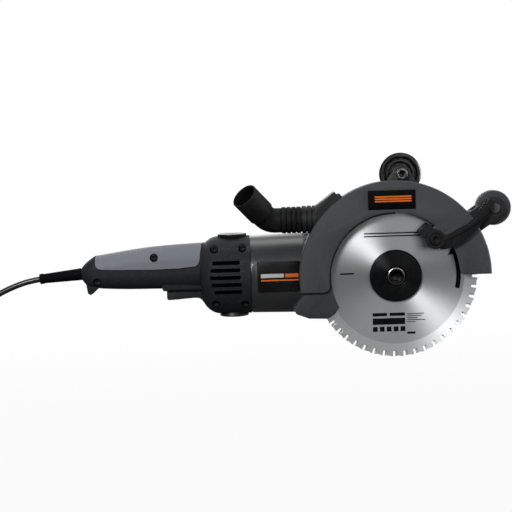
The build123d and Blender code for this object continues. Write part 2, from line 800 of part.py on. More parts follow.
def plug_pins():
    half = PLUG_PIN_SPACING / 2
    pin = rod_x(PLUG_PIN_R, -PLUG_LENGTH - PLUG_PIN_LENGTH, -PLUG_LENGTH)
    return plug_place() * (Pos(0, 0, half) * pin + Pos(0, 0, -half) * pin)


# Gear case

def case_screw_places():
    """Places (y, z) of the screws that join the gear case to the motor housing."""
    return spread(CASE_SCREW_R, (45, 135, 225, 315))


def gear_case():
    """Casting with a gear chamber, a nose for the spindle and a flared neck for the motor."""
    chamber = fillet(rod_y(CASE_R, CASE_NEAR_Y, CASE_FAR_Y).edges().sort_by(Axis.Y)[0], 4.0)
    neck = turned_x((CASE_REAR_X, 0), (CASE_REAR_X, MOTOR_FRONT_R), (-80, MOTOR_FRONT_R), (-60, 34),
                    (-20, 32), (-20, 0))
    neck &= block(-100, 0, CASE_NEAR_Y, CASE_R, -60, 60)
    case = chamber + neck + rod_y(NOSE_R, NOSE_Y, CASE_NEAR_Y + 5)
    case -= rod_y(CASE_R - CASE_WALL, CASE_NEAR_Y + 6, CASE_FAR_Y + 1)
    case -= rod_y(CASE_R + 0.3, CASE_FAR_Y, 60)
    case -= rod_y(21 + PUSH, -48, CASE_NEAR_Y + 7) + rod_y(12.5, NOSE_Y - 1, -30)
    case -= rod_x(31, CASE_REAR_X - 1, -80) + rod_x(8.5, -81, -40)
    case -= rod_x(16 + PUSH, -60, -30)
    for y, z in case_screw_places():
        case -= rod_x(2.1, CASE_REAR_X - 1, -70, y, z) + rod_x(4.2, -80, -40, y, z)
    for n in range(-2, 3):
        vent = block(-88.5, -82.5, -2.2, 2.2, 25, 60)
        case -= Rot(n * 16, 0, 0) * vent + Rot(180 + n * 16, 0, 0) * vent
    for x, z in nose_screw_places():
        case -= rod_y(1.75, CASE_NEAR_Y - 1, CASE_NEAR_Y + 5.2, x, z)
    for x, z in cover_screw_places():
        case -= rod_y(1.75, CASE_FAR_Y - 10, CASE_FAR_Y + 1, x, z)
    return case


def gear_case_screws():
    group = Part()
    for y, z in case_screw_places():
        head = rod_x(3.9, -80, -76, y, z) - rod_x(2.0, -78, -75, y, z)
        group += head + rod_x(2.0, -101, -80, y, z)
    return group


def cover_screw_places():
    return spread(COVER_SCREW_R, (0, 60, 120, 180, 240, 300))


def rear_cover():
    """Lid of the gear chamber with the rear bearing's boss and the lock pin's guide."""
    lid = fillet(rod_y(CASE_R, CASE_FAR_Y, COVER_Y).edges().sort_by(Axis.Y)[-1], 2.5)
    lid += rod_y(20, 28, 37.5) + rod_y(8.5, 28, 35, 0, LOCK_PIN_AT)
    lid += rod_y(CASE_R - CASE_WALL - 0.1, 20.5, CASE_FAR_Y) - rod_y(32, 20, CASE_FAR_Y)
    lid -= rod_y(14 + PUSH, CASE_FAR_Y - 1, 34) + rod_y(LOCK_PIN_R + RUN, 20, 40, 0, LOCK_PIN_AT)
    lid -= rod_y(LOCK_CAP_R + 0.8, 35, 40, 0, LOCK_PIN_AT)
    for x, z in cover_screw_places():
        lid -= rod_y(1.9, 20, COVER_Y + 1, x, z) + rod_y(2.6, COVER_Y - 2, COVER_Y + 1, x, z)
    return lid


def rear_cover_screws():
    group = Part()
    for x, z in cover_screw_places():
        head = rod_y(2.4, COVER_Y - 2, COVER_Y + 1) - hex_socket(2.2, COVER_Y - 0.5, COVER_Y + 2)
        group += Pos(x, 0, z) * (head + rod_y(1.7, CASE_FAR_Y - 9, COVER_Y - 2))
    return group


def spindle_lock():
    """Pin with a push cap; pushed in, it enters a hole in the far gear."""
    cap = fillet(rod_y(LOCK_CAP_R, 39.6, 44.5, 0, LOCK_PIN_AT).edges().sort_by(Axis.Y)[-1], 1.2)
    return cap + rod_y(LOCK_PIN_R, 18.6, 40, 0, LOCK_PIN_AT)


# Guard

def guard_sector(hole, radius):
    """Ring from the front end over the top to the rear end round a hole, drawn in X and Z."""
    ring = Pos(*GUARD_AT) * Circle(radius) - hole
    ring -= Pos(radius, -radius) * Rectangle(2 * radius, 2 * radius)
    return ring - Pos(-radius, GUARD_LEFT_Z - radius) * Rectangle(2 * radius + 20, 2 * radius)


def lever_tab():
    """Tongue of the front plate under the lever's screw."""
    reach = GUARD_OPEN_R + 4 - math.hypot(LEVER_X, LEVER_Z)
    tongue = Circle(LEVER_BOSS_R) + Pos(reach / 2, 0) * Rectangle(reach, 2 * LEVER_BOSS_R)
    return Pos(LEVER_X, LEVER_Z) * Rot(0, 0, LEVER_DEG) * tongue


def guard_front():
    """Flat near plate of the guard: rounded inner ends, the lever's tongue and a thin lip set back."""
    plate = guard_sector(Pos(*GUARD_OPEN_AT) * Circle(GUARD_OPEN_R), GUARD_R)
    inner = [v for v in plate.vertices() if abs(math.dist((v.X, v.Y), GUARD_OPEN_AT) - GUARD_OPEN_R) < 0.5]
    plate = fillet(inner, 6.0)
    solid = slab(plate + lever_tab(), GUARD_NEAR_Y, GUARD_NEAR_Y + GUARD_WALL)
    rim = [e for e in solid.edges().group_by(Axis.Y)[0] if e.length > GUARD_R * 2]
    solid = chamfer(rim, 1.2)
    lip = offset(plate, amount=GUARD_LIP) & Pos(*GUARD_AT) * Circle(GUARD_R - 2)
    lip -= Pos(100, 0) * Rectangle(200, 300)
    solid += slab(lip, GUARD_NEAR_Y + 1.6, GUARD_NEAR_Y + GUARD_WALL)
    for x, z in guard_post_places():
        solid -= rod_y(1.6, GUARD_NEAR_Y + 1, GUARD_NEAR_Y + GUARD_WALL + 1, x, z)
    solid -= badge_form(0.1)
    return solid - rod_y(LEVER_PIN_R + PUSH, -80, -60, LEVER_X, LEVER_Z)


def badge_form(grow=0.0):
    wide, thick, high = BADGE_SIZE
    return Pos(BADGE_X, GUARD_NEAR_Y, BADGE_Z) * Box(wide + 2 * grow, thick + grow, high + 2 * grow)


def guard_badge():
    """Plain plate let into the front plate, standing a little proud."""
    return badge_form()


def guard_post_places():
    return [(x + GUARD_AT[0], z + GUARD_AT[1]) for x, z in spread(GUARD_POST_R, GUARD_POST_DEG)]


def nose_screw_places():
    return spread(NOSE_SCREW_R, NOSE_SCREW_DEG)


def dust_duct():
    """Box on the rim that leads into the dust spigot, with a small catch at its upper end."""
    side = polygon((-80.0, 46.5), (-80.0, 71.5), (-60.0, 86.2), (-57.6, 83.2), (-54.8, 84.2), (-52.2, 80.6),
                   (-56.0, 76.0), (-74.0, 56.0), (-83.0, 46.5))
    return slab(side, GUARD_NEAR_Y + GUARD_WALL, GUARD_FAR_Y)


def guard_shell():
    """Rim and back plate in one: dust spigot, screw posts, ring round the nose, room for the grip's bolt."""
    inside = Pos(*GUARD_AT) * Circle(GUARD_RIM_R - GUARD_WALL)
    rim = slab(guard_sector(inside, GUARD_RIM_R), GUARD_NEAR_Y + GUARD_WALL, GUARD_FAR_Y)
    nose_hole = Circle(NOSE_R + 0.2)
    sheet = guard_sector(nose_hole, GUARD_R - 1) + (Circle(NOSE_RING_R) - nose_hole)
    back = slab(sheet, GUARD_FAR_Y - GUARD_WALL, GUARD_FAR_Y)
    posts = Part()
    for x, z in guard_post_places():
        posts += rod_y(4.4, GUARD_NEAR_Y + GUARD_WALL, GUARD_FAR_Y, x, z)
    duct = dust_duct() - rod_y(GUARD_R - 1, -80, -40, *GUARD_AT)
    spigot = rod_x(PIPE_R, ELBOW_JOINT_X, -76, PIPE_Y, PIPE_Z)
    for x in SPIGOT_RIBS:
        spigot += rod_x(PIPE_R + SPIGOT_RIB_H, x - RIB_HALF, x + RIB_HALF, PIPE_Y, PIPE_Z)
    spigot -= rod_y(GUARD_R + 0.3, GUARD_NEAR_Y - 1, GUARD_NEAR_Y + GUARD_WALL, *GUARD_AT)
    nipple = rod_x(PIPE_BORE_R - RUN, ELBOW_JOINT_X - 12, ELBOW_JOINT_X, PIPE_Y, PIPE_Z)
    shell = rim + back + posts + duct + spigot + nipple
    shell -= rod_x(SPIGOT_BORE_R, ELBOW_JOINT_X - 13, -60, PIPE_Y, PIPE_Z)
    for x, z in guard_post_places():
        shell -= rod_y(1.8, GUARD_NEAR_Y, GUARD_FAR_Y + 1, x, z)
    for x, z in nose_screw_places():
        shell -= rod_y(1.9, -60, -40, x, z)
    for x, z in HEEL_SCREWS:
        shell -= rod_y(1.7, -60, -40, x, z)
    return shell - rod_y(SIDE_BOLT_R + 0.4, BRACKET_Y[0] - 7, -40, SIDE_GRIP_X, SIDE_GRIP_Z)


def guard_heel():
    """Lower rear piece of the guard: two cheeks joined by a wall behind the blades."""
    lower = polygon(*HEEL_OUTLINE, (-62.8, -8.5), (-62.8, 6.0), (-91.4, 6.0)) - Circle(HEEL_OPEN_R)
    wall = polygon(*HEEL_INSIDE, *reversed(HEEL_OUTLINE[:4]))
    heel = slab(lower, *HEEL_NEAR_Y) + slab(lower, *HEEL_FAR_Y) + slab(wall, HEEL_NEAR_Y[0], HEEL_FAR_Y[1])
    for x, z in HEEL_SCREWS:
        heel -= rod_y(1.6, -53.0, -49, x, z)
    return heel


def guard_screws():
    """Shell to front plate from behind, heel from behind, and guard to nose from the front."""
    group = Part()
    far = GUARD_FAR_Y
    seat = GUARD_FAR_Y - GUARD_WALL
    for x, z in guard_post_places():
        group += rod_y(3.4, far, far + 2.6, x, z) - hex_socket(2.6, far + 1, far + 3, x, z)
        group += rod_y(1.55, GUARD_NEAR_Y + 1.2, far, x, z)
    for x, z in HEEL_SCREWS:
        group += rod_y(3.0, far, far + 2.2, x, z) + rod_y(1.5, -52.8, far, x, z)
    for x, z in nose_screw_places():
        group += rod_y(3.2, seat - 1.8, seat, x, z) + rod_y(1.7, seat, CASE_NEAR_Y + 5, x, z)
    return group


def elbow_route():
    bend = Vector(ELBOW_BEND_X, PIPE_Y, PIPE_Z)
    return Vector(ELBOW_JOINT_X - 0.3, PIPE_Y, PIPE_Z), bend, bend + ELBOW_OUT * ELBOW_OUT_LENGTH


def dust_elbow():
    """Bent pipe with ribs on its cuff and a wider mouth."""
    start, bend, mouth = elbow_route()
    path = FilletPolyline(start, bend, mouth, radius=ELBOW_BEND_R)
    at_start = Plane(path @ 0, z_dir=path % 0)
    pipe = sweep(at_start * Circle(PIPE_R), path=path)
    for n in range(CUFF_RIBS):
        x = start.X - RIB_HALF - n * RIB_STEP
        pipe += rod_x(PIPE_R + RIB_H, x - RIB_HALF, x + RIB_HALF, PIPE_Y, PIPE_Z)
    lip = Plane(mouth, z_dir=ELBOW_OUT)
    pipe += extrude(lip * Circle(MOUTH_R), amount=-MOUTH_LENGTH)
    pipe -= sweep(at_start * Circle(PIPE_BORE_R), path=path)
    return pipe - extrude(lip * Circle(MOUTH_BORE_R), amount=-MOUTH_DEPTH)


# Side grip

def handle_bracket():
    """Plate behind the guard, with a ring round the nose and a lug for the side grip."""
    top = Pos(SIDE_GRIP_X, SIDE_GRIP_Z) * Circle(9)
    lug = make_hull(top.edges() + polygon((-8.0, 91.0), (26.0, 91.0), (10, 93)).edges())
    neck = polygon((-8.0, 92.0), (26.0, 92.0), (33.0, 62.0), (30.0, 15.0), (-30.0, 15.0), (-20.0, 62.0))
    sheet = lug + neck + Circle(37) - Circle(NOSE_R + 0.3)
    plate = slab(sheet, *BRACKET_Y)
    for x, z in nose_screw_places():
        plate -= rod_y(1.9, -60, -30, x, z)
    return plate - rod_y(4.2, -60, -30, SIDE_GRIP_X, SIDE_GRIP_Z)


def side_grip():
    """Turned grip with a dished flange against the bracket and a barrel that leans forward."""
    flange = turned_y((0, 0), (9, 0), (9, 4.5), (11.5, 4.5), (12.2, 2.4), (14.6, 2.4), (15.2, 4.5),
                      (16.2, 4.5), (17.4, 0.6), (20.0, 0.6), (21.4, 2), (21.4, 5), (19.0, 9), (16.2, 14),
                      (15.9, 16), (0, 16))
    barrel = turned_y((0, 7), (14.0, 7), (14.2, 40), (15.6, 66), (15.0, 92), (14.2, 108), (17.2, 116),
                      (17.2, 122), (14.0, 127), (0, 128))
    grip = flange + Rot(0, 0, -SIDE_GRIP_LEAN) * barrel - rod_y(4.2, -1, 22)
    return Pos(SIDE_GRIP_X, BRACKET_Y[1], SIDE_GRIP_Z) * grip


def side_grip_bolt():
    y0, y1 = BRACKET_Y
    head = rod_y(SIDE_BOLT_R, y0 - 6, y0) - hex_socket(6.0, y0 - 7, y0 - 2.5)
    return Pos(SIDE_GRIP_X, 0, SIDE_GRIP_Z) * (head + rod_y(4.0, y0, y1 + 20))


# Dial, lever and pad

def on_dial_arm(shape):
    """Places a shape drawn along +X on the dial's radial line."""
    return Rot(0, -DIAL_DEG, 0) * shape


def fork_cheek(y0, y1):
    outline = Circle(FORK_HALF) + Pos(-12.5, 0) * Rectangle(25, 2 * FORK_HALF)
    return slab(Pos(DIAL_AT, 0) * outline, y0, y1)


def feeder_bracket():
    """Fork on the guard's rim that carries the dial."""
    near, far = FORK_Y
    fork = block(92, 99.5, near, far, -FORK_HALF, FORK_HALF)
    fork += fork_cheek(near, near + FORK_T) + fork_cheek(far - FORK_T, far)
    fork = on_dial_arm(fork - rod_y(DIAL_PIN_R + RUN, -80, -40, DIAL_AT))
    fork -= rod_y(GUARD_R + 0.05, -80, GUARD_NEAR_Y + GUARD_WALL + 0.05, *GUARD_AT)
    return fork - rod_y(GUARD_RIM_R + 0.05, -80, -40, *GUARD_AT)


def feed_dial():
    """Knurled wheel between the cheeks of the fork."""
    wheel = rod_y(DIAL_R, FORK_Y[0] + FORK_T + 1.0, FORK_Y[1] - FORK_T - 1.0, DIAL_AT)
    notch = rod_y(DIAL_NOTCH_R, -70, -50, DIAL_AT + DIAL_R)
    centre = Pos(DIAL_AT, 0, 0)
    back = Pos(-DIAL_AT, 0, 0)
    notches = Part() + [centre * Rot(0, n * 360 / DIAL_TEETH, 0) * back * notch for n in range(DIAL_TEETH)]
    return on_dial_arm(wheel - notches - rod_y(DIAL_PIN_R + PUSH, -80, -40, DIAL_AT))


def dial_pin():
    """Pin with a head outside each cheek of the fork."""
    near, far = FORK_Y[0] - 0.2, FORK_Y[1] + 0.4
    pin = rod_y(5.0, near - 1.7, near) + rod_y(DIAL_PIN_R, near, far) + rod_y(4.4, far, far + 1.4)
    return on_dial_arm(Pos(DIAL_AT, 0, 0) * pin)


def lever_face(upper, lower):
    """Face between two smooth curves that run the same way."""
    ends = Line(upper[-1], lower[-1]) + Line(lower[0], upper[0])
    return make_face(Spline(*upper) + Spline(*lower) + ends)


def lube_lever():
    """Curved lever with a raised rib, a lower web, a boss, thumb ribs and a short arm for the pad."""
    y0, y1 = LEVER_Y
    lever = slab(lever_face(LEVER_RIB_TOP, LEVER_RIB_LOW), y0, y1)
    inside_rib = [((a + c) / 2, (b + d) / 2) for (a, b), (c, d) in zip(LEVER_RIB_TOP, LEVER_RIB_LOW)]
    lever += slab(lever_face(inside_rib[:6], LEVER_WEB_LOW), y0 + 2.4, y1)
    for n in range(5):
        along = THUMB_STEP * n
        x = THUMB_FROM[0] + along * math.cos(math.radians(THUMB_DEG))
        z = THUMB_FROM[1] + along * math.sin(math.radians(THUMB_DEG))
        lever += slab(Pos(x, z) * Rot(0, 0, THUMB_DEG) * Rectangle(1.2, 4.6), y0 + 0.5, y1 - 1)
    (x0, z0), (x1, z1) = LEVER_RIB_TOP[-1], LEVER_RIB_LOW[-1]
    lever += rod_y(math.dist((x0, z0), (x1, z1)) / 2, y0, y1, (x0 + x1) / 2, (z0 + z1) / 2)
    lever += rod_y(LEVER_BOSS_R, y0 - 0.6, y1, LEVER_X, LEVER_Z)
    lever += on_short_arm(block(0, PAD_REACH[1], y0 + 2.5, y1, *PAD_SIDES))
    lever -= rod_y(LEVER_PIN_R + RUN, -90, -60, LEVER_X, LEVER_Z)
    return lever - rod_y(6.3, -90, y0 + 2.4, LEVER_X, LEVER_Z)


def on_short_arm(shape):
    """Places a shape drawn along +X on the lever's short arm."""
    return Pos(LEVER_X, 0, LEVER_Z) * Rot(0, -LEVER_DEG - 90, 0) * shape


def lever_screw():
    """Shoulder screw that the lever swings on."""
    y0 = LEVER_Y[0]
    head = rod_y(6.0, y0 - 1.0, y0 + 2.2) - hex_socket(5.0, y0 - 2, y0 + 1)
    screw = head + rod_y(LEVER_PIN_R, y0 + 2.2, GUARD_NEAR_Y + GUARD_WALL)
    return Pos(LEVER_X, 0, LEVER_Z) * screw


def lube_pad():
    """Block under the lever's short arm that ends just short of the outer blade."""
    return on_short_arm(block(*PAD_REACH, LEVER_Y[1], PAD_END_Y, *PAD_SIDES))


def export(node, shape):
    export_step(Pos(-GRIP_X, 0, -GRIP_Z) * shape, f"parts/{node}.step")


def main():
    os.makedirs("parts", exist_ok=True)
    shells = shell_body()
    export("handle_shell_near", handle_shell_near(shells))
    export("handle_shell_far", handle_shell_far(shells))
    pad = grip_pad()
    export("grip_pad_near", pad - screw_wells())
    export("grip_pad_far", mirror(pad, Plane.XZ))
    export("power_cord", cord_tube(CORD_ROUTE))
    export("cord_tail", cord_tube(TAIL_ROUTE))
    makers = (
        shell_screws, motor_housing, side_panels, stator, field_coils, armature_shaft, armature_core,
        armature_windings, commutator, cooling_fan, drive_pinion, ball_bearings, brush_holders,
        carbon_brushes, brush_springs, brush_caps, power_switch, trigger, lock_off_button, cord_clamp,
        strain_relief, cord_coil, mains_plug, plug_pins, gear_case, rear_cover, rear_cover_screws,
        gear_case_screws, spindle_lock,
        hollow_spindle, near_bevel_gear, spindle_bushes, inner_spindle, far_bevel_gear, inner_blade,
        inner_blade_screws, outer_blade, clamp_flange, clamp_bolt, guard_shell, guard_front, guard_heel,
        guard_screws, guard_badge, handle_bracket, side_grip, side_grip_bolt, dust_elbow, feeder_bracket,
        feed_dial, dial_pin, lube_lever, lever_screw, lube_pad,
    )
    for maker in makers:
        export(maker.__name__, maker())


main()
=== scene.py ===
import json
from math import cos, pi, radians, sin

import bpy
from mathutils import Matrix, Vector


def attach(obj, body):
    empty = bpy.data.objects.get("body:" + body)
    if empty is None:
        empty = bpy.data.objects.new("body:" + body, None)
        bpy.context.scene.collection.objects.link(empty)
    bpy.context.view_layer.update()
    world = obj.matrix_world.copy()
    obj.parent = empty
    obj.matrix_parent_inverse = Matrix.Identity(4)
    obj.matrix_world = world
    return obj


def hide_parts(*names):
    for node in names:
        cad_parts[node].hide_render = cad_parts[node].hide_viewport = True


# Looks of a hand-held saw with two blades that turn opposite ways.
# Places are given in millimetres in the source's working frame: zero where the motor axis (X) and the
# spindle axis (Y) cross, -Y on the blade side, +Z up. at() turns them into the frame's metres.

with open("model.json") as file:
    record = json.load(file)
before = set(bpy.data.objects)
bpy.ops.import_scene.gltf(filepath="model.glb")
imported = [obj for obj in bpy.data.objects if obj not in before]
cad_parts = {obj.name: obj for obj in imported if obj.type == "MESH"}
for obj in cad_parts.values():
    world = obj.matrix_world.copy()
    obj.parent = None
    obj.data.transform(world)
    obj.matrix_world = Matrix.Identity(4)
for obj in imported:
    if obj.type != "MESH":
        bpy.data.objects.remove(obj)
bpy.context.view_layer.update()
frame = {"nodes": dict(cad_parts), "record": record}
solids = frame["nodes"]
scene = bpy.context.scene
scene.view_settings.view_transform = "Standard"

GRIP_X, GRIP_Z = -262.0, 10.0
MM = 0.001
SLOT_OF = {row["node"]: row["material_slot"] for row in frame["record"]["subparts"]}
BODY_OF = {n: body for body, group in frame["record"]["behaviour"]["bodies"].items() for n in group}


def at(x, y, z):
    return Vector(((x - GRIP_X) * MM, y * MM, (z - GRIP_Z) * MM))


# Working by hand on one piece at a time


def pick(piece):
    bpy.ops.object.select_all(action="DESELECT")
    piece.select_set(True)
    bpy.context.view_layer.objects.active = piece


def edit(piece, kind="FACE"):
    pick(piece)
    bpy.ops.object.mode_set(mode="EDIT")
    bpy.ops.mesh.select_mode(type=kind)


def leave():
    bpy.ops.object.mode_set(mode="OBJECT")


def choose(piece, test):
    """Selects the faces whose centre and normal pass the test, and stays in edit mode."""
    leave()
    mesh = piece.data
    for part in (mesh.vertices, mesh.edges, mesh.polygons):
        part.foreach_set("select", [False] * len(part))
    for face in mesh.polygons:
        face.select = test(face.center, face.normal)
    bpy.ops.object.mode_set(mode="EDIT")


def modify(piece, kind, **settings):
    pick(piece)
    modifier = piece.modifiers.new(kind.lower(), kind)
    for key, value in settings.items():
        setattr(modifier, key, value)
    bpy.ops.object.modifier_apply(modifier=modifier.name)


def round_edges(piece, width, angle=32, steps=2):
    modify(piece, "BEVEL", width=width * MM, segments=steps, limit_method="ANGLE",
           angle_limit=radians(angle), use_clamp_overlap=True, miter_outer="MITER_ARC")


def settle(piece, name, body, finish, stands_for=(), smooth=36):
    """Fixes the piece's place in its mesh and gives it its name, finish and body."""
    pick(piece)
    bpy.ops.object.transform_apply(location=True, rotation=True, scale=True)
    piece.name = piece.data.name = name
    piece.data.materials.clear()
    piece.data.materials.append(finish)
    if smooth:
        bpy.ops.object.shade_smooth_by_angle(angle=radians(smooth))
    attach(piece, body)
    if stands_for:
        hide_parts(*stands_for)
    return piece


def soften(node, finish, width=0.6, angle=32, steps=2, smooth=40, curved=False):
    """A copy of a solid with its edges rounded, which is shown in the solid's place.

    A curved one keeps its facets as they are, because it has no flat faces to join."""
    piece = bpy.data.objects.new(node + "_rounded", solids[node].data.copy())
    scene.collection.objects.link(piece)
    edit(piece)
    bpy.ops.mesh.select_all(action="SELECT")
    bpy.ops.mesh.customdata_custom_splitnormals_clear()
    bpy.ops.mesh.remove_doubles(threshold=0.00001)
    if not curved:
        bpy.ops.mesh.dissolve_limited(angle_limit=radians(0.4))
    leave()
    round_edges(piece, width, angle, steps)
    if not curved:
        modify(piece, "WEIGHTED_NORMAL", keep_sharp=True, weight=70)
    return settle(piece, node + "_rounded", BODY_OF[node], finish, (node,), smooth)


# Shader node groups and finishes


def wire(tree, kind, inputs=None, **settings):
    """Adds a node with its settings; an input is a value or the socket that feeds it."""
    node = tree.nodes.new(kind)
    for key, value in settings.items():
        setattr(node, key, value)
    for key, value in (inputs or {}).items():
        if isinstance(value, bpy.types.NodeSocket):
            tree.links.new(value, node.inputs[key])
        else:
            node.inputs[key].default_value = value
    return node


def maths(tree, operation, first, second=0.0):
    return wire(tree, "ShaderNodeMath", {0: first, 1: second}, operation=operation).outputs[0]


def spread(tree, value, low, high, to_low=0.0, to_high=1.0, kind="LINEAR"):
    return wire(tree, "ShaderNodeMapRange", {"Value": value, "From Min": low, "From Max": high,
                "To Min": to_low, "To Max": to_high}, interpolation_type=kind).outputs["Result"]


def soft_edge(tree, value, limits):
    """Nothing at the first limit and all at the second, both in millimetres."""
    return spread(tree, value, limits[0] * MM, limits[1] * MM)


def blend(tree, share, first, second):
    node = wire(tree, "ShaderNodeMix", {"Factor": share}, data_type="RGBA")
    for socket, value in ((node.inputs[6], first), (node.inputs[7], second)):
        if isinstance(value, bpy.types.NodeSocket):
            tree.links.new(value, socket)
        else:
            socket.default_value = (*value, 1.0)
    return node.outputs[2]


def new_group(name, inputs, outputs):
    group = bpy.data.node_groups.new(name, "ShaderNodeTree")
    for label, kind, value in inputs:
        socket = group.interface.new_socket(label, in_out="INPUT", socket_type=kind)
        if value is not None:
            socket.default_value = value
    for label in outputs:
        group.interface.new_socket(label, in_out="OUTPUT", socket_type="NodeSocketFloat")
    return group, group.nodes.new("NodeGroupInput").outputs, group.nodes.new("NodeGroupOutput").inputs


def make_moulded_grain():
    """Fine pitted texture of a spark-eroded mould."""
    group, given, out = new_group("moulded_grain", [("Place", "NodeSocketVector", None),
                                  ("Grains per metre", "NodeSocketFloat", 1400.0)], ("Height", "Shade"))
    pits = wire(group, "ShaderNodeTexVoronoi", {"Vector": given["Place"], "Scale": given["Grains per metre"],
                "Smoothness": 0.8}, feature="SMOOTH_F1")
    cloud = wire(group, "ShaderNodeTexNoise", {"Vector": given["Place"], "Detail": 3.0, "Roughness": 0.6,
                 "Scale": maths(group, "MULTIPLY", given["Grains per metre"], 0.7)})
    height = maths(group, "ADD", pits.outputs["Distance"], cloud.outputs["Fac"])
    group.links.new(height, out["Height"])
    group.links.new(spread(group, height, 0.6, 1.3), out["Shade"])
    return group


def make_edge_wear():
    """Where raised edges have been rubbed, in broken patches."""
    group, given, out = new_group("edge_wear", [("Place", "NodeSocketVector", None),
                                  ("Patches per metre", "NodeSocketFloat", 120.0),
                                  ("From", "NodeSocketFloat", 0.53),
                                  ("To", "NodeSocketFloat", 0.66)], ("Wear",))
    raised = wire(group, "ShaderNodeNewGeometry").outputs["Pointiness"]
    patches = wire(group, "ShaderNodeTexNoise", {"Vector": given["Place"], "Detail": 4.0, "Roughness": 0.65,
                   "Scale": given["Patches per metre"]}).outputs["Fac"]
    edge = spread(group, raised, given["From"], given["To"], kind="SMOOTHSTEP")
    group.links.new(maths(group, "MULTIPLY", edge, spread(group, patches, 0.35, 0.62)), out["Wear"])
    return group


def make_handling():
    """Broad dull and polished areas left by hands and dust."""
    group, given, out = new_group("handling", [("Place", "NodeSocketVector", None),
                                  ("Areas per metre", "NodeSocketFloat", 26.0)], ("Dull", "Dust"))
    broad = wire(group, "ShaderNodeTexNoise", {"Vector": given["Place"], "Scale": given["Areas per metre"],
                 "Detail": 5.0, "Roughness": 0.55, "Distortion": 0.4}).outputs["Fac"]
    fine = wire(group, "ShaderNodeTexNoise", {"Vector": given["Place"], "Detail": 6.0, "Roughness": 0.7,
                "Scale": maths(group, "MULTIPLY", given["Areas per metre"], 9.0)}).outputs["Fac"]
    group.links.new(spread(group, broad, 0.3, 0.7), out["Dull"])
    group.links.new(maths(group, "MULTIPLY", spread(group, fine, 0.5, 0.75), spread(group, broad, 0.4, 0.7)),
                    out["Dust"])
    return group


def make_recess_shade():
    """Painted shade in gaps, grooves, wells and inside corners, where the surroundings close in, in broken
    patches.
    """
    group, given, out = new_group("painted_recess_shade", [("Place", "NodeSocketVector", None),
                                  ("Reach", "NodeSocketFloat", 0.003)], ("Painted shade",))
    # Painted shade: darker where little of the surroundings is open within the reach
    openness = wire(group, "ShaderNodeAmbientOcclusion", {"Distance": given["Reach"]},
                    samples=8).outputs["AO"]
    patches = wire(group, "ShaderNodeTexNoise", {"Vector": given["Place"], "Scale": 240.0, "Detail": 3.0,
                   "Roughness": 0.6}).outputs["Fac"]
    deep = spread(group, openness, 0.82, 0.3, kind="SMOOTHSTEP")
    group.links.new(maths(group, "MULTIPLY", deep, spread(group, patches, 0.2, 0.5, 0.75, 1.0)), out["Painted shade"])
    return group


def make_turned_lines():
    """Fine circular tool marks about the Y axis of the given place."""
    group, given, out = new_group("turned_lines", [("Place", "NodeSocketVector", None),
                                  ("Lines per metre", "NodeSocketFloat", 2600.0)],
                                  ("Height", "Shade", "Radius"))
    flat = wire(group, "ShaderNodeVectorMath", {0: given["Place"], 1: (1.0, 0.0, 1.0)}, operation="MULTIPLY")
    radius = wire(group, "ShaderNodeVectorMath", {0: flat.outputs[0]}, operation="LENGTH").outputs["Value"]
    lines = wire(group, "ShaderNodeTexNoise", {"W": radius, "Scale": given["Lines per metre"], "Detail": 4.0,
                 "Roughness": 0.75}, noise_dimensions="1D").outputs["Fac"]
    group.links.new(lines, out["Height"])
    group.links.new(spread(group, lines, 0.3, 0.7), out["Shade"])
    group.links.new(radius, out["Radius"])
    return group


def make_arrow_mark():
    """A curved arrow about the Y axis of the given place, which points anticlockwise."""
    group, given, out = new_group("arrow_mark", [("Place", "NodeSocketVector", None),
                                  ("Radius", "NodeSocketFloat", 0.06),
                                  ("Half width", "NodeSocketFloat", 0.002),
                                  ("From", "NodeSocketFloat", 0.0), ("To", "NodeSocketFloat", 0.4),
                                  ("Head", "NodeSocketFloat", 0.1),
                                  ("Head half width", "NodeSocketFloat", 0.005)], ("Mark",))
    axes = wire(group, "ShaderNodeSeparateXYZ", {"Vector": given["Place"]}).outputs
    turn = maths(group, "ARCTAN2", axes["Z"], axes["X"])
    flat = wire(group, "ShaderNodeVectorMath", {0: given["Place"], 1: (1.0, 0.0, 1.0)}, operation="MULTIPLY")
    radius = wire(group, "ShaderNodeVectorMath", {0: flat.outputs[0]}, operation="LENGTH").outputs["Value"]
    off = maths(group, "ABSOLUTE", maths(group, "SUBTRACT", radius, given["Radius"]))
    along = maths(group, "MULTIPLY", maths(group, "GREATER_THAN", turn, given["From"]),
                  maths(group, "LESS_THAN", turn, given["To"]))
    shaft = maths(group, "MULTIPLY", along, maths(group, "LESS_THAN", off, given["Half width"]))
    past = maths(group, "SUBTRACT", turn, given["To"])
    narrowing = maths(group, "SUBTRACT", 1.0, maths(group, "DIVIDE", past, given["Head"]))
    head_half = maths(group, "MULTIPLY", narrowing, given["Head half width"])
    head = maths(group, "MULTIPLY", maths(group, "GREATER_THAN", past, 0.0),
                 maths(group, "LESS_THAN", off, head_half))
    group.links.new(maths(group, "MAXIMUM", shaft, head), out["Mark"])
    return group


MOULDED_GRAIN = make_moulded_grain()
EDGE_WEAR = make_edge_wear()
HANDLING = make_handling()
RECESS_SHADE = make_recess_shade()
TURNED_LINES = make_turned_lines()
ARROW_MARK = make_arrow_mark()


def use(tree, group, place, **values):
    node = wire(tree, "ShaderNodeGroup", node_tree=group)
    tree.links.new(place, node.inputs["Place"])
    for key, value in values.items():
        node.inputs[key.replace("_", " ")].default_value = value
    return node.outputs


def new_finish(name, **sockets):
    """A material with a Principled shader; what is the same all over is set on its sockets."""
    material = bpy.data.materials.new(name)
    material.use_nodes = True
    tree = material.node_tree
    shader = tree.nodes["Principled BSDF"]
    for key, value in sockets.items():
        shader.inputs[key.replace("_", " ")].default_value = value
    place = tree.nodes.new("ShaderNodeTexCoord").outputs["Object"]
    return material, tree, shader.inputs, place


def bump(tree, height, depth, strength=1.0):
    return wire(tree, "ShaderNodeBump", {"Height": height, "Distance": depth * MM,
                "Strength": strength}).outputs["Normal"]


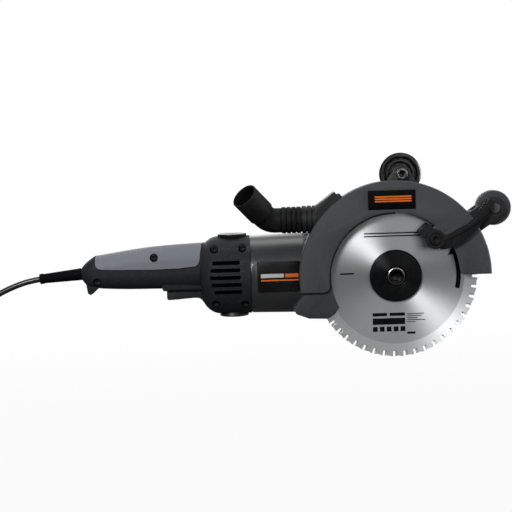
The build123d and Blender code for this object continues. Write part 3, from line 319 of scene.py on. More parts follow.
def centred(tree, place, x, z):
    return wire(tree, "ShaderNodeMapping", {"Vector": place, "Location": -at(x, 0, z)}).outputs["Vector"]


def bars(tree, place, rows):
    """Mask of plain bars, each given by its x and z limits in millimetres."""
    axes = wire(tree, "ShaderNodeSeparateXYZ", {"Vector": place}).outputs
    mask = None
    for x0, x1, z0, z1 in rows:
        low, high = at(x0, 0, z0), at(x1, 0, z1)
        inside = None
        for axis, i in (("X", 0), ("Z", 2)):
            for side, limit in (("GREATER_THAN", low[i]), ("LESS_THAN", high[i])):
                test = maths(tree, side, axes[axis], limit)
                inside = test if inside is None else maths(tree, "MULTIPLY", inside, test)
        mask = inside if mask is None else maths(tree, "MAXIMUM", mask, inside)
    return mask


# SOCKET_SHADE is painted shade in bolt sockets
PALE_DUST, OILY_DUST, SOCKET_SHADE = (0.25, 0.24, 0.225), (0.12, 0.11, 0.1), (0.016, 0.016, 0.017)
RAISED_MM, SOCKET_BLUR = 0.6, 0.4


def moulded(name, colour, worn, rough, grains=1400.0, depth=0.02, dusty=0.1, worn_share=0.6, uneven=0.065,
            painted=None, raised=None, **sockets):
    """Moulded plastic or powder paint: fine grain, rubbed edges, broad dull areas, a little dust and painted
    shade in recesses.

    painted(tree, place) gives pairs of a mask and the colour that goes there, and raised a mask of
    what stands up."""
    material, tree, shader, place = new_finish(name, **sockets)
    grain = use(tree, MOULDED_GRAIN, place, Grains_per_metre=grains)
    wear = use(tree, EDGE_WEAR, place)["Wear"]
    hands = use(tree, HANDLING, place)
    deep = tuple(c * 0.82 for c in colour)
    base = blend(tree, grain["Shade"], colour, deep)
    base = blend(tree, maths(tree, "MULTIPLY", wear, worn_share), base, worn)
    for mask, tint in painted(tree, place) if painted else ():
        base = blend(tree, mask, base, tint)
    base = blend(tree, maths(tree, "MULTIPLY", hands["Dust"], dusty), base, PALE_DUST)
    # Painted shade in gaps, grooves and inside corners
    base = blend(tree, use(tree, RECESS_SHADE, place)["Painted shade"], base, tuple(c * 0.12 for c in colour))
    tree.links.new(base, shader["Base Color"])
    dull = spread(tree, hands["Dull"], 0.0, 1.0, rough - uneven, rough + uneven)
    tree.links.new(maths(tree, "SUBTRACT", dull, maths(tree, "MULTIPLY", wear, 0.1)), shader["Roughness"])
    normal = bump(tree, grain["Height"], depth)
    if raised:
        normal = wire(tree, "ShaderNodeBump", {"Height": raised(tree, place), "Distance": RAISED_MM * MM,
                      "Normal": normal}).outputs["Normal"]
    tree.links.new(normal, shader["Normal"])
    return material


def turned(name, colour, rough, centre=(0.0, 0.0), lines=2600.0, depth=0.01, aniso=0.0, dark_inside=0.0,
           **sockets):
    """Turned or ground metal with circular marks about a Y axis through the given x and z, and a dark centre
    within dark_inside millimetres of that axis: painted shade in the socket, and a darker face round it where
    the centre is wider than the socket."""
    material, tree, shader, place = new_finish(name, Anisotropic=aniso, **sockets)
    marks = use(tree, TURNED_LINES, centred(tree, place, *centre), Lines_per_metre=lines)
    hands = use(tree, HANDLING, place, Areas_per_metre=40.0)
    base = blend(tree, marks["Shade"], colour, tuple(c * 0.86 for c in colour))
    base = blend(tree, maths(tree, "MULTIPLY", hands["Dust"], 0.15), base, OILY_DUST)
    # Painted shade in the socket at the middle
    if dark_inside:
        inside = soft_edge(tree, marks["Radius"], (dark_inside, dark_inside - SOCKET_BLUR))
        base = blend(tree, inside, base, SOCKET_SHADE)
    tree.links.new(base, shader["Base Color"])
    tree.links.new(spread(tree, hands["Dull"], 0.0, 1.0, rough - 0.05, rough + 0.06), shader["Roughness"])
    tree.links.new(bump(tree, marks["Height"], depth), shader["Normal"])
    if aniso:
        tree.links.new(wire(tree, "ShaderNodeTangent", direction_type="RADIAL", axis="Y").outputs[0],
                       shader["Tangent"])
    return material


# Plain printed bars on the outer blade: x and z limits
BLADE_PRINT = (
    (-31.0, 25.0, 42.3, 43.6), (-31.0, 25.0, 39.4, 40.7),
    (-56.0, -42.0, 2.3, 3.9),
    (-24.2, -9.6, -40.9, -37.6), (-7.0, 8.5, -40.9, -37.6), (-24.2, 8.5, -49.5, -43.0),
    (-24.2, -19.4, -56.6, -51.6), (-17.2, -12.4, -56.6, -51.6), (-10.2, -5.4, -56.6, -51.6),
    (-3.2, 1.6, -56.6, -51.6), (3.7, 8.5, -56.6, -51.6),
    (10.6, 27.5, -39.4, -38.6), (10.6, 25.5, -41.5, -40.7), (10.6, 21.0, -43.6, -42.8),
    (10.6, 28.8, -45.7, -44.9), (10.6, 19.0, -47.8, -47.0), (10.4, 18.8, -59.6, -57.4),
)


RING_FROM_R = (68.8, 69.2)
PRINT_BLACK = (0.012, 0.012, 0.013)
BLADE_ARROW = dict(Radius=0.0632, Half_width=0.0023, From=radians(-13.3), To=radians(19.5),
                   Head=radians(6.2), Head_half_width=0.0077)


def ground_blade(name, printed=False):
    """Blade steel: a brushed disc inside a dull, bead-blasted toothed ring."""
    material, tree, shader, place = new_finish(name, Metallic=1.0, Anisotropic=0.86,
                                               Anisotropic_Rotation=0.25)
    moved = centred(tree, place, 0, 0)
    marks = use(tree, TURNED_LINES, moved, Lines_per_metre=3000.0)
    hands = use(tree, HANDLING, place, Areas_per_metre=30.0)
    grain = use(tree, MOULDED_GRAIN, place, Grains_per_metre=2600.0)
    ring = soft_edge(tree, marks["Radius"], RING_FROM_R)
    disc = blend(tree, marks["Shade"], (0.58, 0.59, 0.61), (0.5, 0.51, 0.527))
    blasted = blend(tree, grain["Shade"], (0.8, 0.805, 0.81), (0.71, 0.715, 0.72))
    base = blend(tree, ring, disc, blasted)
    base = blend(tree, maths(tree, "MULTIPLY", hands["Dust"], 0.12), base, (0.2, 0.19, 0.18))
    if printed:
        arrow = use(tree, ARROW_MARK, moved, **BLADE_ARROW)["Mark"]
        ink = maths(tree, "MAXIMUM", arrow, bars(tree, place, BLADE_PRINT))
        base = blend(tree, ink, base, PRINT_BLACK)
    tree.links.new(base, shader["Base Color"])
    brushed = spread(tree, marks["Shade"], 0.0, 1.0, 0.44, 0.52)
    rough = wire(tree, "ShaderNodeMix", {"Factor": ring, "A": brushed, "B": 0.55}, data_type="FLOAT")
    tree.links.new(rough.outputs[0], shader["Roughness"])
    height = wire(tree, "ShaderNodeMix", {"Factor": ring, "A": marks["Height"], "B": grain["Height"]},
                  data_type="FLOAT").outputs[0]
    tree.links.new(bump(tree, height, 0.006), shader["Normal"])
    tree.links.new(wire(tree, "ShaderNodeTangent", direction_type="RADIAL", axis="Y").outputs[0],
                   shader["Tangent"])
    return material


# Colours and places of what is painted on a finish. Two radii or depths are where a soft edge begins and ends
# BLACK is painted shade; NEAR_BLACK darkens the lever's short arm; DUCT_BLACK is the duct's own black plastic
BLACK, NEAR_BLACK, DUCT_BLACK = (0.0016, 0.0016, 0.0017), (0.0035, 0.0035, 0.0038), (0.0115, 0.0119, 0.0127)
ORANGE, PRINT_WHITE = (0.62, 0.13, 0.02), (0.45, 0.45, 0.45)
BADGE_STRIPES = ((-20.5, 16.0, 74.6, 76.1), (-20.5, 16.0, 76.9, 78.4), (-20.5, 16.0, 79.2, 80.7))
PANEL_WHITE_BARS = ((-135.5, -112.0, -0.9, 3.1),)
PANEL_ORANGE_BARS = ((-110.6, -97.0, -0.9, 3.1), (-135.5, -97.0, -4.4, -2.9))
GUARD_AT, DUCT_FROM_R = (-1.0, -0.3), (96.0, 96.3)
LIP_SHADE, LIP_DEPTH = (0.004, 0.004, 0.0044), (-71.8, -71.5)
LEVER_AT, LEVER_SEAT_R = (38.4, 36.5), (6.8, 6.4)
SHORT_ARM_OUT = (cos(radians(132.4)), 0.0, sin(radians(132.4)))
SHORT_ARM_FROM = (8.6, 9.0)
GRIP_SCREWS, GRIP_WELL_R = ((-246.3, 21.6), (-306.5, -2.4)), (4.5, 4.25)
PIPE_Y, PIPE_Z, PIPE_GROOVE_R = -58.0, 59.0, (12.95, 12.6)
SPIGOT_RIBS_X, CUFF_RIBS_X = (-93.7, -78.0), (-115.0, -93.7)
ELBOW_TURN_X, MOUTH_REACH = -126.2, 40.6
MOUTH_OUT = Vector((-0.581, -0.49, 0.65)).normalized()
MOUTH_AT = Vector((ELBOW_TURN_X, PIPE_Y, PIPE_Z)) + MOUTH_OUT * MOUTH_REACH
MOUTH_R, MOUTH_SINK = (12.5, 12.2), 0.3


def badge_stripes(tree, place):
    return ((bars(tree, place, BADGE_STRIPES), ORANGE),)


def panel_stripes(tree, place):
    return ((bars(tree, place, PANEL_WHITE_BARS), PRINT_WHITE),
            (bars(tree, place, PANEL_ORANGE_BARS), ORANGE))


def from_y_axis(tree, place, x, z):
    """Distance from an axis along Y through the given x and z."""
    flat = wire(tree, "ShaderNodeVectorMath", {0: centred(tree, place, x, z), 1: (1.0, 0.0, 1.0)},
                operation="MULTIPLY")
    return wire(tree, "ShaderNodeVectorMath", {0: flat.outputs[0]}, operation="LENGTH").outputs["Value"]


def black_duct_and_groove_shade(tree, place):
    """The dust duct and its spigot, outside the guard's rim, in their own black, with painted shade in the
    grooves between the ribs.
    """
    outside = soft_edge(tree, from_y_axis(tree, place, *GUARD_AT), DUCT_FROM_R)
    return (outside, DUCT_BLACK), (shaded_rib_grooves(tree, place, *SPIGOT_RIBS_X), BLACK)


def shaded_rib_grooves(tree, place, x0, x1):
    """Painted shade at the bottoms of the grooves on the dust pipe, between two places along it."""
    axes = wire(tree, "ShaderNodeSeparateXYZ", {"Vector": wire(tree, "ShaderNodeMapping", {
                "Vector": place, "Location": -at(0, PIPE_Y, PIPE_Z)}).outputs["Vector"]}).outputs
    distance = maths(tree, "SQRT", maths(tree, "ADD", maths(tree, "MULTIPLY", axes["Y"], axes["Y"]),
                                         maths(tree, "MULTIPLY", axes["Z"], axes["Z"])))
    along = maths(tree, "MULTIPLY", maths(tree, "GREATER_THAN", axes["X"], x0 * MM),
                  maths(tree, "LESS_THAN", axes["X"], x1 * MM))
    return maths(tree, "MULTIPLY", along, soft_edge(tree, distance, PIPE_GROOVE_R))


def shaded_mouth_and_cuff_grooves(tree, place):
    """Painted shade inside the elbow's mouth and in the grooves of its cuff."""
    moved = wire(tree, "ShaderNodeMapping", {"Vector": place, "Location": -at(*MOUTH_AT)}).outputs["Vector"]
    along = wire(tree, "ShaderNodeVectorMath", {0: moved, 1: MOUTH_OUT},
                 operation="DOT_PRODUCT").outputs["Value"]
    reach = wire(tree, "ShaderNodeVectorMath", {0: moved}, operation="LENGTH").outputs["Value"]
    off = maths(tree, "SQRT", maths(tree, "SUBTRACT", maths(tree, "MULTIPLY", reach, reach),
                                    maths(tree, "MULTIPLY", along, along)))
    inside = maths(tree, "MULTIPLY", maths(tree, "LESS_THAN", along, -MOUTH_SINK * MM),
                   soft_edge(tree, off, MOUTH_R))
    return (inside, BLACK), (shaded_rib_grooves(tree, place, *CUFF_RIBS_X), BLACK)


def shaded_wells(tree, place):
    """Painted shade in the wells of the two screws in the grip."""
    mask = None
    for x, z in GRIP_SCREWS:
        well = soft_edge(tree, from_y_axis(tree, place, x, z), GRIP_WELL_R)
        mask = well if mask is None else maths(tree, "MAXIMUM", mask, well)
    return ((mask, BLACK),)


def lever_seat_shade_and_dark_arm(tree, place):
    """Painted shade in the sunk seat of the screw that the lever swings on, and the short arm that holds the
    pad darkened to near-black.
    """
    moved = centred(tree, place, *LEVER_AT)
    out = wire(tree, "ShaderNodeVectorMath", {0: moved, 1: SHORT_ARM_OUT}, operation="DOT_PRODUCT")
    return ((soft_edge(tree, from_y_axis(tree, place, *LEVER_AT), LEVER_SEAT_R), BLACK),
            (soft_edge(tree, out.outputs["Value"], SHORT_ARM_FROM), NEAR_BLACK))


def lip_shadow(tree, place):
    """The thin lip round the guard's opening, set back from the plate's face."""
    depth = wire(tree, "ShaderNodeSeparateXYZ", {"Vector": place}).outputs["Y"]
    return ((soft_edge(tree, depth, LIP_DEPTH), LIP_SHADE),)


def from_motor_axis(tree, place):
    """Place along the motor's axis, height above it and distance from it."""
    axes = wire(tree, "ShaderNodeSeparateXYZ", {"Vector": centred(tree, place, 0, 0)}).outputs
    distance = maths(tree, "SQRT", maths(tree, "ADD", maths(tree, "MULTIPLY", axes["Y"], axes["Y"]),
                                         maths(tree, "MULTIPLY", axes["Z"], axes["Z"])))
    return axes["X"], axes["Z"], distance


REAR_R, REAR_SHOULDER_X, REAR_SHOULDER_R = 41.0, -198.0, 19.0
REAR_SKIN = 0.15
# Just above the cut lower corner of the rear housing: z is slope times x plus height
LOWER_CORNER = ((-1.476, -311.3), (-0.245, -81.5))


def shaded_inside(tree, place):
    """Painted shade on what lies under the skin of the rear housing: vents, screw wells and the inner walls.
    """
    along, height, distance = from_motor_axis(tree, place)
    steep, shallow = (maths(tree, "ADD", maths(tree, "MULTIPLY", along, slope), rise * MM)
                      for slope, rise in LOWER_CORNER)
    corner = REAR_SHOULDER_R * MM
    past = maths(tree, "SUBTRACT", (REAR_SHOULDER_X + REAR_SHOULDER_R) * MM, along)
    into = maths(tree, "MINIMUM", maths(tree, "MAXIMUM", past, 0.0), corner)
    rise = maths(tree, "SQRT", maths(tree, "SUBTRACT", corner * corner, maths(tree, "MULTIPLY", into, into)))
    skin = maths(tree, "ADD", rise, (REAR_R - REAR_SHOULDER_R - REAR_SKIN) * MM)
    inside = maths(tree, "MULTIPLY", maths(tree, "LESS_THAN", distance, skin),
                   maths(tree, "GREATER_THAN", along, REAR_SHOULDER_X * MM))
    inside = maths(tree, "MULTIPLY", inside, maths(tree, "GREATER_THAN", height,
                                                   maths(tree, "MAXIMUM", steep, shallow)))
    return ((inside, BLACK), *shaded_wells(tree, place))


GUARD_ARROW = dict(Radius=0.079, Half_width=0.0028, Head=radians(9), Head_half_width=0.0075)
GUARD_ARROW_SWEEPS = ((radians(12), radians(34)), (radians(6), radians(20)))


def guard_arrows(tree, place):
    """Two raised turning marks on the guard's front plate, one on each side of the opening."""
    middle = centred(tree, place, 0, 0)
    other_way = wire(tree, "ShaderNodeVectorMath", {0: middle, 1: (-1.0, 1.0, 1.0)},
                     operation="MULTIPLY").outputs[0]
    (left_from, left_to), (right_from, right_to) = GUARD_ARROW_SWEEPS
    left = use(tree, ARROW_MARK, other_way, From=left_from, To=left_to, **GUARD_ARROW)["Mark"]
    right = use(tree, ARROW_MARK, middle, From=right_from, To=right_to, **GUARD_ARROW)["Mark"]
    return maths(tree, "MAXIMUM", left, right)


GUARD_GREY, GUARD_WORN = (0.047, 0.05, 0.0545), (0.12, 0.125, 0.13)
FINISH = {
    # The shell gets painted shade under its skin and in its screw wells
    "shell_plastic": moulded("charcoal_shell_plastic", (0.0143, 0.0158, 0.0178), (0.05, 0.05, 0.053), 0.62,
                             depth=0.012, painted=shaded_inside, Specular_IOR_Level=0.16),
    "grip_rubber": moulded("blue_grey_grip_rubber", (0.17, 0.184, 0.209), (0.2, 0.21, 0.23), 0.62,
                           grains=1800.0, depth=0.012, dusty=0.05, painted=shaded_wells,
                           Specular_IOR_Level=0.3),
    "housing_plastic": moulded("satin_housing_plastic", (0.029, 0.0298, 0.0314), (0.09, 0.09, 0.093), 0.32,
                               depth=0.006, uneven=0.03, Specular_IOR_Level=0.62),
    "panel_black": moulded("plain_panel_black", (0.005, 0.0048, 0.0048), (0.04, 0.04, 0.04), 0.36,
                           depth=0.004, Specular_IOR_Level=0.25),
    "trim_plastic": moulded("black_trim_plastic", (0.0085, 0.0088, 0.0095), (0.045, 0.045, 0.047), 0.48,
                            depth=0.008, Specular_IOR_Level=0.22),
    "guard_paint": moulded("grey_guard_powder_coat", GUARD_GREY, GUARD_WORN, 0.62,
                           grains=2200.0, depth=0.02, Specular_IOR_Level=0.3),
    "case_paint": moulded("satin_case_paint", (0.03, 0.031, 0.033), (0.2, 0.2, 0.2), 0.45,
                          grains=700.0, depth=0.03, Specular_IOR_Level=0.35),
    "blade_steel": ground_blade("circle_ground_blade_steel"),
    "bright_steel": turned("ground_bright_steel", (0.55, 0.55, 0.56), 0.3, Metallic=1.0),
    "black_steel": turned("black_oxide_steel", (0.01, 0.0105, 0.0115), 0.36, depth=0.004,
                          Specular_IOR_Level=0.4),
    "chrome": turned("bright_plating", (0.72, 0.72, 0.73), 0.14, depth=0.003, Metallic=1.0),
    "laminations": turned("stacked_iron_sheet", (0.2, 0.2, 0.21), 0.5, lines=900.0, depth=0.05, Metallic=0.8),
    "copper": turned("enamelled_copper_wire", (0.5, 0.2, 0.08), 0.3, lines=1200.0, depth=0.1, Metallic=0.7),
    "brass": turned("plain_brass", (0.6, 0.43, 0.17), 0.32, Metallic=1.0),
    "carbon": moulded("pressed_carbon", (0.016, 0.016, 0.016), (0.06, 0.06, 0.06), 0.55),
    "cord_rubber": moulded("smooth_cord_sheath", (0.012, 0.012, 0.0138), (0.04, 0.04, 0.042), 0.34,
                           grains=900.0, depth=0.008, Specular_IOR_Level=0.5),
}
# Nodes whose finish isn't the plain one of their slot
OWN_FINISH = {
    "outer_blade": ground_blade("printed_blade_steel", printed=True),
    "clamp_flange": turned("black_oxide_flange", (0.0035, 0.0037, 0.004), 0.36, depth=0.003, aniso=0.85,
                           Anisotropic_Rotation=0.25, Specular_IOR_Level=0.1),
    "clamp_bolt": turned("dark_clamp_bolt", (0.3, 0.3, 0.31), 0.25, depth=0.003, dark_inside=7.9,
                         Metallic=1.0),
    "shell_screws": turned("black_shell_screws", (0.0035, 0.0035, 0.004), 0.42, depth=0.002,
                           Specular_IOR_Level=0.22),
    "handle_bracket": moulded("black_bracket_paint", (0.005, 0.005, 0.0054), (0.12, 0.12, 0.12), 0.4,
                              worn_share=0.8, dusty=0.0, Specular_IOR_Level=0.3),
    "side_panels": moulded("striped_panel_black", (0.005, 0.0048, 0.0048), (0.04, 0.04, 0.04), 0.36,
                           depth=0.004, painted=panel_stripes, Specular_IOR_Level=0.25),
    "guard_badge": moulded("striped_badge_black", (0.0016, 0.0016, 0.0016), (0.02, 0.02, 0.02), 0.5,
                           depth=0.004, dusty=0.0, painted=badge_stripes, Specular_IOR_Level=0.03),
    "guard_shell": moulded("guard_coat_and_black_duct", GUARD_GREY, GUARD_WORN, 0.55, grains=2200.0,
                           painted=black_duct_and_groove_shade, Specular_IOR_Level=0.22),
    "guard_front": moulded("grey_guard_front_coat", GUARD_GREY, GUARD_WORN, 0.62, grains=2200.0,
                           painted=lip_shadow, raised=guard_arrows, Specular_IOR_Level=0.3),
    "guard_heel": moulded("grey_heel_coat", (0.03, 0.032, 0.0355), GUARD_WORN, 0.62, grains=2200.0,
                          Specular_IOR_Level=0.3),
    "lube_lever": moulded("dark_lever_plastic", (0.0086, 0.0089, 0.0095), (0.07, 0.07, 0.073), 0.54,
                          painted=lever_seat_shade_and_dark_arm, Specular_IOR_Level=0.15),
    "feeder_bracket": moulded("dark_fork_plastic", (0.0145, 0.015, 0.0158), (0.07, 0.07, 0.073), 0.54,
                              Specular_IOR_Level=0.2),
    "feed_dial": moulded("grey_dial_plastic", (0.034, 0.035, 0.0373), (0.1, 0.1, 0.103), 0.54,
                         Specular_IOR_Level=0.28),
    "dial_pin": moulded("dark_pin_plastic", (0.058, 0.059, 0.061), (0.1, 0.1, 0.103), 0.5,
                        Specular_IOR_Level=0.3),
    "dust_elbow": moulded("matt_elbow_plastic", (0.0078, 0.008, 0.0086), (0.024, 0.024, 0.025), 0.62,
                          depth=0.012, worn_share=0.5, painted=shaded_mouth_and_cuff_grooves, Specular_IOR_Level=0.1),
    "strain_relief": moulded("matt_relief_rubber", (0.0026, 0.0026, 0.0034), (0.015, 0.015, 0.017), 0.66,
                             grains=900.0, depth=0.01, dusty=0.02, Specular_IOR_Level=0.04),
    "lube_pad": moulded("black_pad_felt", (0.004, 0.004, 0.0045), (0.02, 0.02, 0.02), 0.8, grains=3000.0,
                        depth=0.05, dusty=0.04, Specular_IOR_Level=0.08),
    "side_grip": moulded("glossy_grip_plastic", (0.005, 0.005, 0.0054), (0.03, 0.03, 0.032), 0.28,
                         depth=0.003, dusty=0.0, uneven=0.015, Specular_IOR_Level=0.4),
    "brush_caps": moulded("satin_cap_plastic", (0.0075, 0.0077, 0.0082), (0.03, 0.03, 0.032), 0.42,
                          depth=0.004, dusty=0.03, uneven=0.03, Specular_IOR_Level=0.35),
    "lever_screw": turned("black_lever_screw", (0.004, 0.004, 0.0045), 0.5, centre=LEVER_AT, depth=0.002,
                          Specular_IOR_Level=0.16),
    "side_grip_bolt": turned("oiled_grip_bolt", (0.12, 0.12, 0.125), 0.22, centre=(9.5, 101.5), depth=0.003,
                             dark_inside=3.4, Metallic=1.0),
    "trigger": moulded("grey_trigger_plastic", (0.018, 0.019, 0.021), (0.06, 0.06, 0.063), 0.5,
                       depth=0.01, Specular_IOR_Level=0.25),
}


# The lead: from the strain relief, down to a tied coil and the plug

LEAD_R = 3.15
COIL_X, COIL_Z = -469.0, -168.0
LEAD_EXIT = (-366.0, 0.0, 1.6)
LEAD_DROP = (LEAD_EXIT, (-372, 0, 0.9), (-390, 0, -3.0), (-416, 0, -14.2), (-444.5, 0, -33),
             (-466.0, 0.8, -56), (-476, 3.4, -83), (-473.5, 7.2, -105.5), (-463.5, 9.6, -122.5))
# Each run of the winding: first angle, degrees turned, radius from and to, y from and to
COIL_RUNS = (
    (75, 215, 42.2, 28.6, 10, 10),
    (-140, 1080, 28.6, 28.6, 10.05, -10.1),
    (-140, 120, 28.6, 35.35, -10.1, -10.1),
    (100, 720, 35.35, 35.35, -10.1, 3.4),
    (100, 120, 35.35, 42.1, 3.45, 3.5),
    (-20, 360, 42.1, 42.1, 3.5, -3.35),
)
COIL_STEP_DEG = 22.5
LEAD_TAIL = ((-434.3, -3.5, -193.5), (-439.6, -2.2, -204.5), (-442.2, -0.3, -214.5), (-442.2, 0, -224))


def lead_points():
    points = list(LEAD_DROP)
    for first, sweep, r_from, r_to, y_from, y_to in COIL_RUNS:
        steps = max(2, round(sweep / COIL_STEP_DEG))
        for i in range(1, steps + 1):
            share = i / steps
            a = radians(first - sweep * share)
            r = r_from + (r_to - r_from) * share
            points.append((COIL_X + r * cos(a), y_from + (y_to - y_from) * share, COIL_Z + r * sin(a)))
    return [at(*p) for p in points + list(LEAD_TAIL)]


def make_lead():
    points = lead_points()
    curve = bpy.data.curves.new("mains_lead", "CURVE")
    curve.dimensions = "3D"
    spline = curve.splines.new("NURBS")
    spline.points.add(len(points) - 1)
    for control, point in zip(spline.points, points):
        control.co = (*point, 1.0)
    spline.order_u = 3
    spline.use_endpoint_u = True
    spline.resolution_u = 6
    curve.bevel_depth = LEAD_R * MM
    curve.bevel_resolution = 5
    curve.use_fill_caps = True
    lead = bpy.data.objects.new("mains_lead", curve)
    scene.collection.objects.link(lead)
    curve.materials.append(FINISH["cord_rubber"])
    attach(lead, "tool")
    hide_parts("power_cord", "cord_coil", "cord_tail")
    return lead


TIE_DEG = 168.0
TIE_WIDTH = 9.0


def make_coil_tie():
    """A flat strap round the bundle of turns."""
    middle_r, half_r, half_y, wall = 35.2, 10.6, 14.0, 1.1
    bpy.ops.object.select_all(action="DESELECT")
    bpy.ops.mesh.primitive_cube_add(size=1.0)
    tie = bpy.context.object
    tie.dimensions = (2 * (half_r + wall) * MM, 2 * (half_y + wall) * MM, TIE_WIDTH * MM)
    bpy.ops.object.transform_apply(scale=True)
    edit(tie)
    choose(tie, lambda centre, normal: abs(normal.z) > 0.9)
    bpy.ops.mesh.inset(thickness=wall * MM)
    bpy.ops.mesh.bridge_edge_loops()
    leave()
    round_edges(tie, 3.4, angle=60, steps=4)
    round_edges(tie, 0.3, angle=50, steps=2)
    a = radians(TIE_DEG)
    tie.rotation_euler = (pi / 2, 0, 0)
    bpy.ops.object.transform_apply(rotation=True)
    tie.matrix_world = Matrix.Translation(at(COIL_X + middle_r * cos(a), 0, COIL_Z + middle_r * sin(a))) @ (
        Matrix.Rotation(-a, 4, "Y"))
    return settle(tie, "coil_tie", "tool", FINISH["trim_plastic"])


lead = make_lead()
plug = soften("mains_plug", FINISH["cord_rubber"], 1.2)
pins = soften("plug_pins", FINISH["brass"], 0.4)
tie = make_coil_tie()


# Rounded copies of what shows

ROUNDED = {
    "handle_shell_near": 0.35, "handle_shell_far": 0.35, "grip_pad_near": 0.7, "grip_pad_far": 0.7,
    "shell_screws": 0.25, "motor_housing": 0.7, "side_panels": 0.5, "brush_caps": 0.7, "trigger": 0.8,
    "lock_off_button": 0.5, "strain_relief": 0.5, "gear_case": 0.8, "rear_cover": 0.5,
    "rear_cover_screws": 0.25, "gear_case_screws": 0.25, "spindle_lock": 0.3, "clamp_flange": 0.5,
    "clamp_bolt": 0.8, "guard_shell": 0.7, "guard_front": 0.8, "guard_heel": 0.7, "guard_screws": 0.2,
    "guard_badge": 0.35, "handle_bracket": 0.7, "side_grip": 1.4, "side_grip_bolt": 0.3, "dust_elbow": 0.4,
    "feeder_bracket": 0.7, "feed_dial": 0.25, "dial_pin": 0.4, "lube_lever": 0.4, "lever_screw": 0.3,
    "lube_pad": 0.6,
}
CURVED = ("dust_elbow",)
for node, width in ROUNDED.items():
    soften(node, OWN_FINISH.get(node, FINISH[SLOT_OF[node]]), width, curved=node in CURVED)
for node, solid in solids.items():
    if node not in ROUNDED:
        solid.data.materials.clear()
        solid.data.materials.append(OWN_FINISH.get(node, FINISH[SLOT_OF[node]]))


# A black sleeve behind the vents, which stands in for the shade inside the rear housing

SHADE_SLEEVE_R = 36.6
SHADE_SLEEVE_X = (-183.2, -154.0)
SHADE_SLEEVE_HALF_Z = 19.5
SHADE_SLEEVE_T = 0.6


def make_vent_shade_sleeve():
    """Part of a thin sleeve inside the rear housing, cut out of a full one, in matt black as painted shade
    behind the vents.
    """
    x0, x1 = SHADE_SLEEVE_X
    bpy.ops.object.select_all(action="DESELECT")
    bpy.ops.mesh.primitive_cylinder_add(vertices=96, radius=SHADE_SLEEVE_R * MM, depth=(x1 - x0) * MM,
                                        end_fill_type="NOTHING", location=at((x0 + x1) / 2, 0, 0),
                                        rotation=(0, pi / 2, 0))
    shade_sleeve = bpy.context.object
    bpy.ops.object.transform_apply(location=True, rotation=True, scale=True)
    edit(shade_sleeve)
    for z, way in ((SHADE_SLEEVE_HALF_Z, 1), (-SHADE_SLEEVE_HALF_Z, -1)):
        bpy.ops.mesh.select_all(action="SELECT")
        bpy.ops.mesh.bisect(plane_co=at(0, 0, z), plane_no=(0, 0, way), clear_outer=True)
    leave()
    modify(shade_sleeve, "SOLIDIFY", thickness=SHADE_SLEEVE_T * MM, offset=-1.0)
    # Matt black with no reflection, as painted shade behind the vents
    black = moulded("vent_shade_black", BLACK, BLACK, 0.9, dusty=0.0, Specular_IOR_Level=0.0)
    return settle(shade_sleeve, "vent_shade_sleeve", "tool", black)


make_vent_shade_sleeve()


# Camera, floor and light

CAMERA_AT = (0.1221, -1.2950, 0.1220)
CAMERA_TILT = radians(5.0)
CAMERA_ROLL = radians(1.8)
CAMERA_LENS = 86.64


def place_camera():
    ahead = Vector((0, cos(CAMERA_TILT), -sin(CAMERA_TILT)))
    level, above = Vector((1, 0, 0)), Vector((0, sin(CAMERA_TILT), cos(CAMERA_TILT)))
    right = level * cos(CAMERA_ROLL) - above * sin(CAMERA_ROLL)
    up = level * sin(CAMERA_ROLL) + above * cos(CAMERA_ROLL)
    lens = bpy.data.cameras.new("photo_camera")
    lens.lens, lens.sensor_width = CAMERA_LENS, 36.0
    camera = bpy.data.objects.new("photo_camera", lens)
    camera.matrix_world = Matrix.Translation(CAMERA_AT) @ Matrix((right, up, -ahead)).transposed().to_4x4()
    scene.collection.objects.link(camera)
    scene.camera = camera


FLOOR_Z = -0.312
FLOOR_MIDDLE, FLOOR_SIZE = (0.12, 2.6), (7.0, 6.4)
FLOOR_NEAR = (0.075, 0.075, 0.075)
FLOOR_FAR = (0.86, 0.86, 0.86)
FLOOR_WHITE = 0.96
# How far behind the tool the floor turns from grey to white, as lit and as the camera sees it
FLOOR_TURNS, FLOOR_CLEARS = (0.8, 2.0), (0.6, 2.4)
BACKDROP_IN_GLOSS = 0.45


def where_white(tree, behind):
    """Share of the white background: whole for the camera, partly in reflections of what is behind."""
    ray = wire(tree, "ShaderNodeLightPath").outputs
    mirrored = maths(tree, "MAXIMUM", ray["Is Glossy Ray"], ray["Is Transmission Ray"])
    mirrored = maths(tree, "MULTIPLY", maths(tree, "MULTIPLY", mirrored, behind), BACKDROP_IN_GLOSS)
    return maths(tree, "MAXIMUM", ray["Is Camera Ray"], mirrored)


def lay_floor():
    bpy.ops.object.select_all(action="DESELECT")
    bpy.ops.mesh.primitive_plane_add(size=1.0, location=(*FLOOR_MIDDLE, FLOOR_Z))
    floor = bpy.context.object
    floor.scale = (*FLOOR_SIZE, 1.0)
    bpy.ops.object.transform_apply(location=True, scale=True)
    floor.name = "floor"
    material = bpy.data.materials.new("pale_floor")
    material.use_nodes = True
    tree = material.node_tree
    tree.nodes.clear()
    place = wire(tree, "ShaderNodeTexCoord").outputs["Object"]
    depth = wire(tree, "ShaderNodeSeparateXYZ", {"Vector": place}).outputs["Y"]
    behind = spread(tree, depth, *FLOOR_TURNS, kind="SMOOTHSTEP")
    clear = spread(tree, depth, *FLOOR_CLEARS, FLOOR_WHITE, 1.0)
    share = maths(tree, "MULTIPLY", where_white(tree, behind), clear)
    grey = blend(tree, behind, FLOOR_NEAR, FLOOR_FAR)
    plain = wire(tree, "ShaderNodeBsdfDiffuse", {"Color": grey}).outputs[0]
    white = wire(tree, "ShaderNodeEmission", {"Strength": 1.0}).outputs[0]
    mixed = wire(tree, "ShaderNodeMixShader", {"Fac": share, 1: plain, 2: white})
    wire(tree, "ShaderNodeOutputMaterial", {"Surface": mixed.outputs[0]})
    floor.data.materials.append(material)


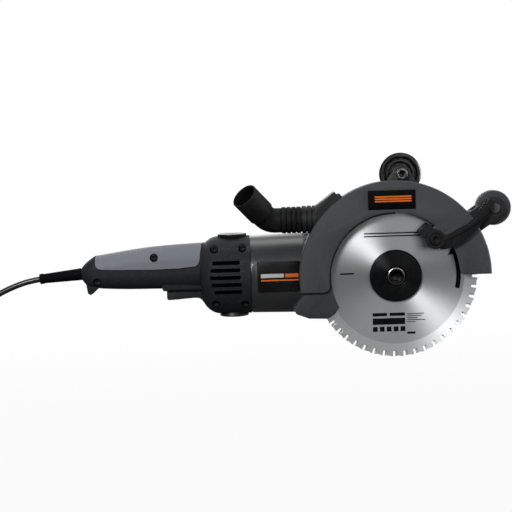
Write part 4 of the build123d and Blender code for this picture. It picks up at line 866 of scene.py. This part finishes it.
WORLD_GREY, WORLD_WHITE = (0.07, 0.0715, 0.075, 1.0), (1.0, 1.0, 1.0, 1.0)
WORLD_TURNS = (-0.15, 0.45)


def light_world():
    """Grey room light, with the white background behind the tool seen by the camera and in reflections."""
    world = bpy.data.worlds.new("studio")
    scene.world = world
    world.use_nodes = True
    tree = world.node_tree
    tree.nodes.clear()
    way = wire(tree, "ShaderNodeTexCoord").outputs["Generated"]
    depth = wire(tree, "ShaderNodeSeparateXYZ", {"Vector": way}).outputs["Y"]
    behind = spread(tree, depth, *WORLD_TURNS, kind="SMOOTHSTEP")
    room = wire(tree, "ShaderNodeBackground", {"Color": WORLD_GREY, "Strength": 1.0}).outputs[0]
    white = wire(tree, "ShaderNodeBackground", {"Color": WORLD_WHITE, "Strength": 1.0}).outputs[0]
    mixed = wire(tree, "ShaderNodeMixShader", {"Fac": where_white(tree, behind), 1: room, 2: white})
    wire(tree, "ShaderNodeOutputWorld", {"Surface": mixed.outputs[0]})


# Softboxes: place, what it points at, width, height and power
LAMPS = {
    "key_softbox": ((-0.66, -1.77, 0.95), (0.15, 0.0, 0.0), 0.7, 0.7, 37.0),
    "right_softbox": ((0.92, -2.08, 0.52), (0.2, 0.0, 0.0), 1.3, 1.1, 8.0),
    "top_softbox": ((0.1, 0.42, 1.17), (0.1, 0.0, 0.05), 1.6, 0.5, 7.0),
    "side_strip": ((1.45, -0.04, 0.2), (0.27, -0.05, 0.09), 0.3, 0.9, 16.0),
    "back_softbox": ((-0.5, 2.1, 0.8), (0.1, 0.0, 0.0), 1.4, 1.2, 16.0),
}


def hang_lamps():
    for name, (place, target, width, height, power) in LAMPS.items():
        lamp = bpy.data.lights.new(name, "AREA")
        lamp.shape, lamp.size, lamp.size_y, lamp.energy = "RECTANGLE", width, height, power
        holder = bpy.data.objects.new(name, lamp)
        holder.location = place
        holder.rotation_mode = "QUATERNION"
        holder.rotation_quaternion = (Vector(target) - Vector(place)).to_track_quat("-Z", "Y")
        scene.collection.objects.link(holder)


place_camera()
lay_floor()
light_world()
hang_lamps()

bpy.context.view_layer.update()
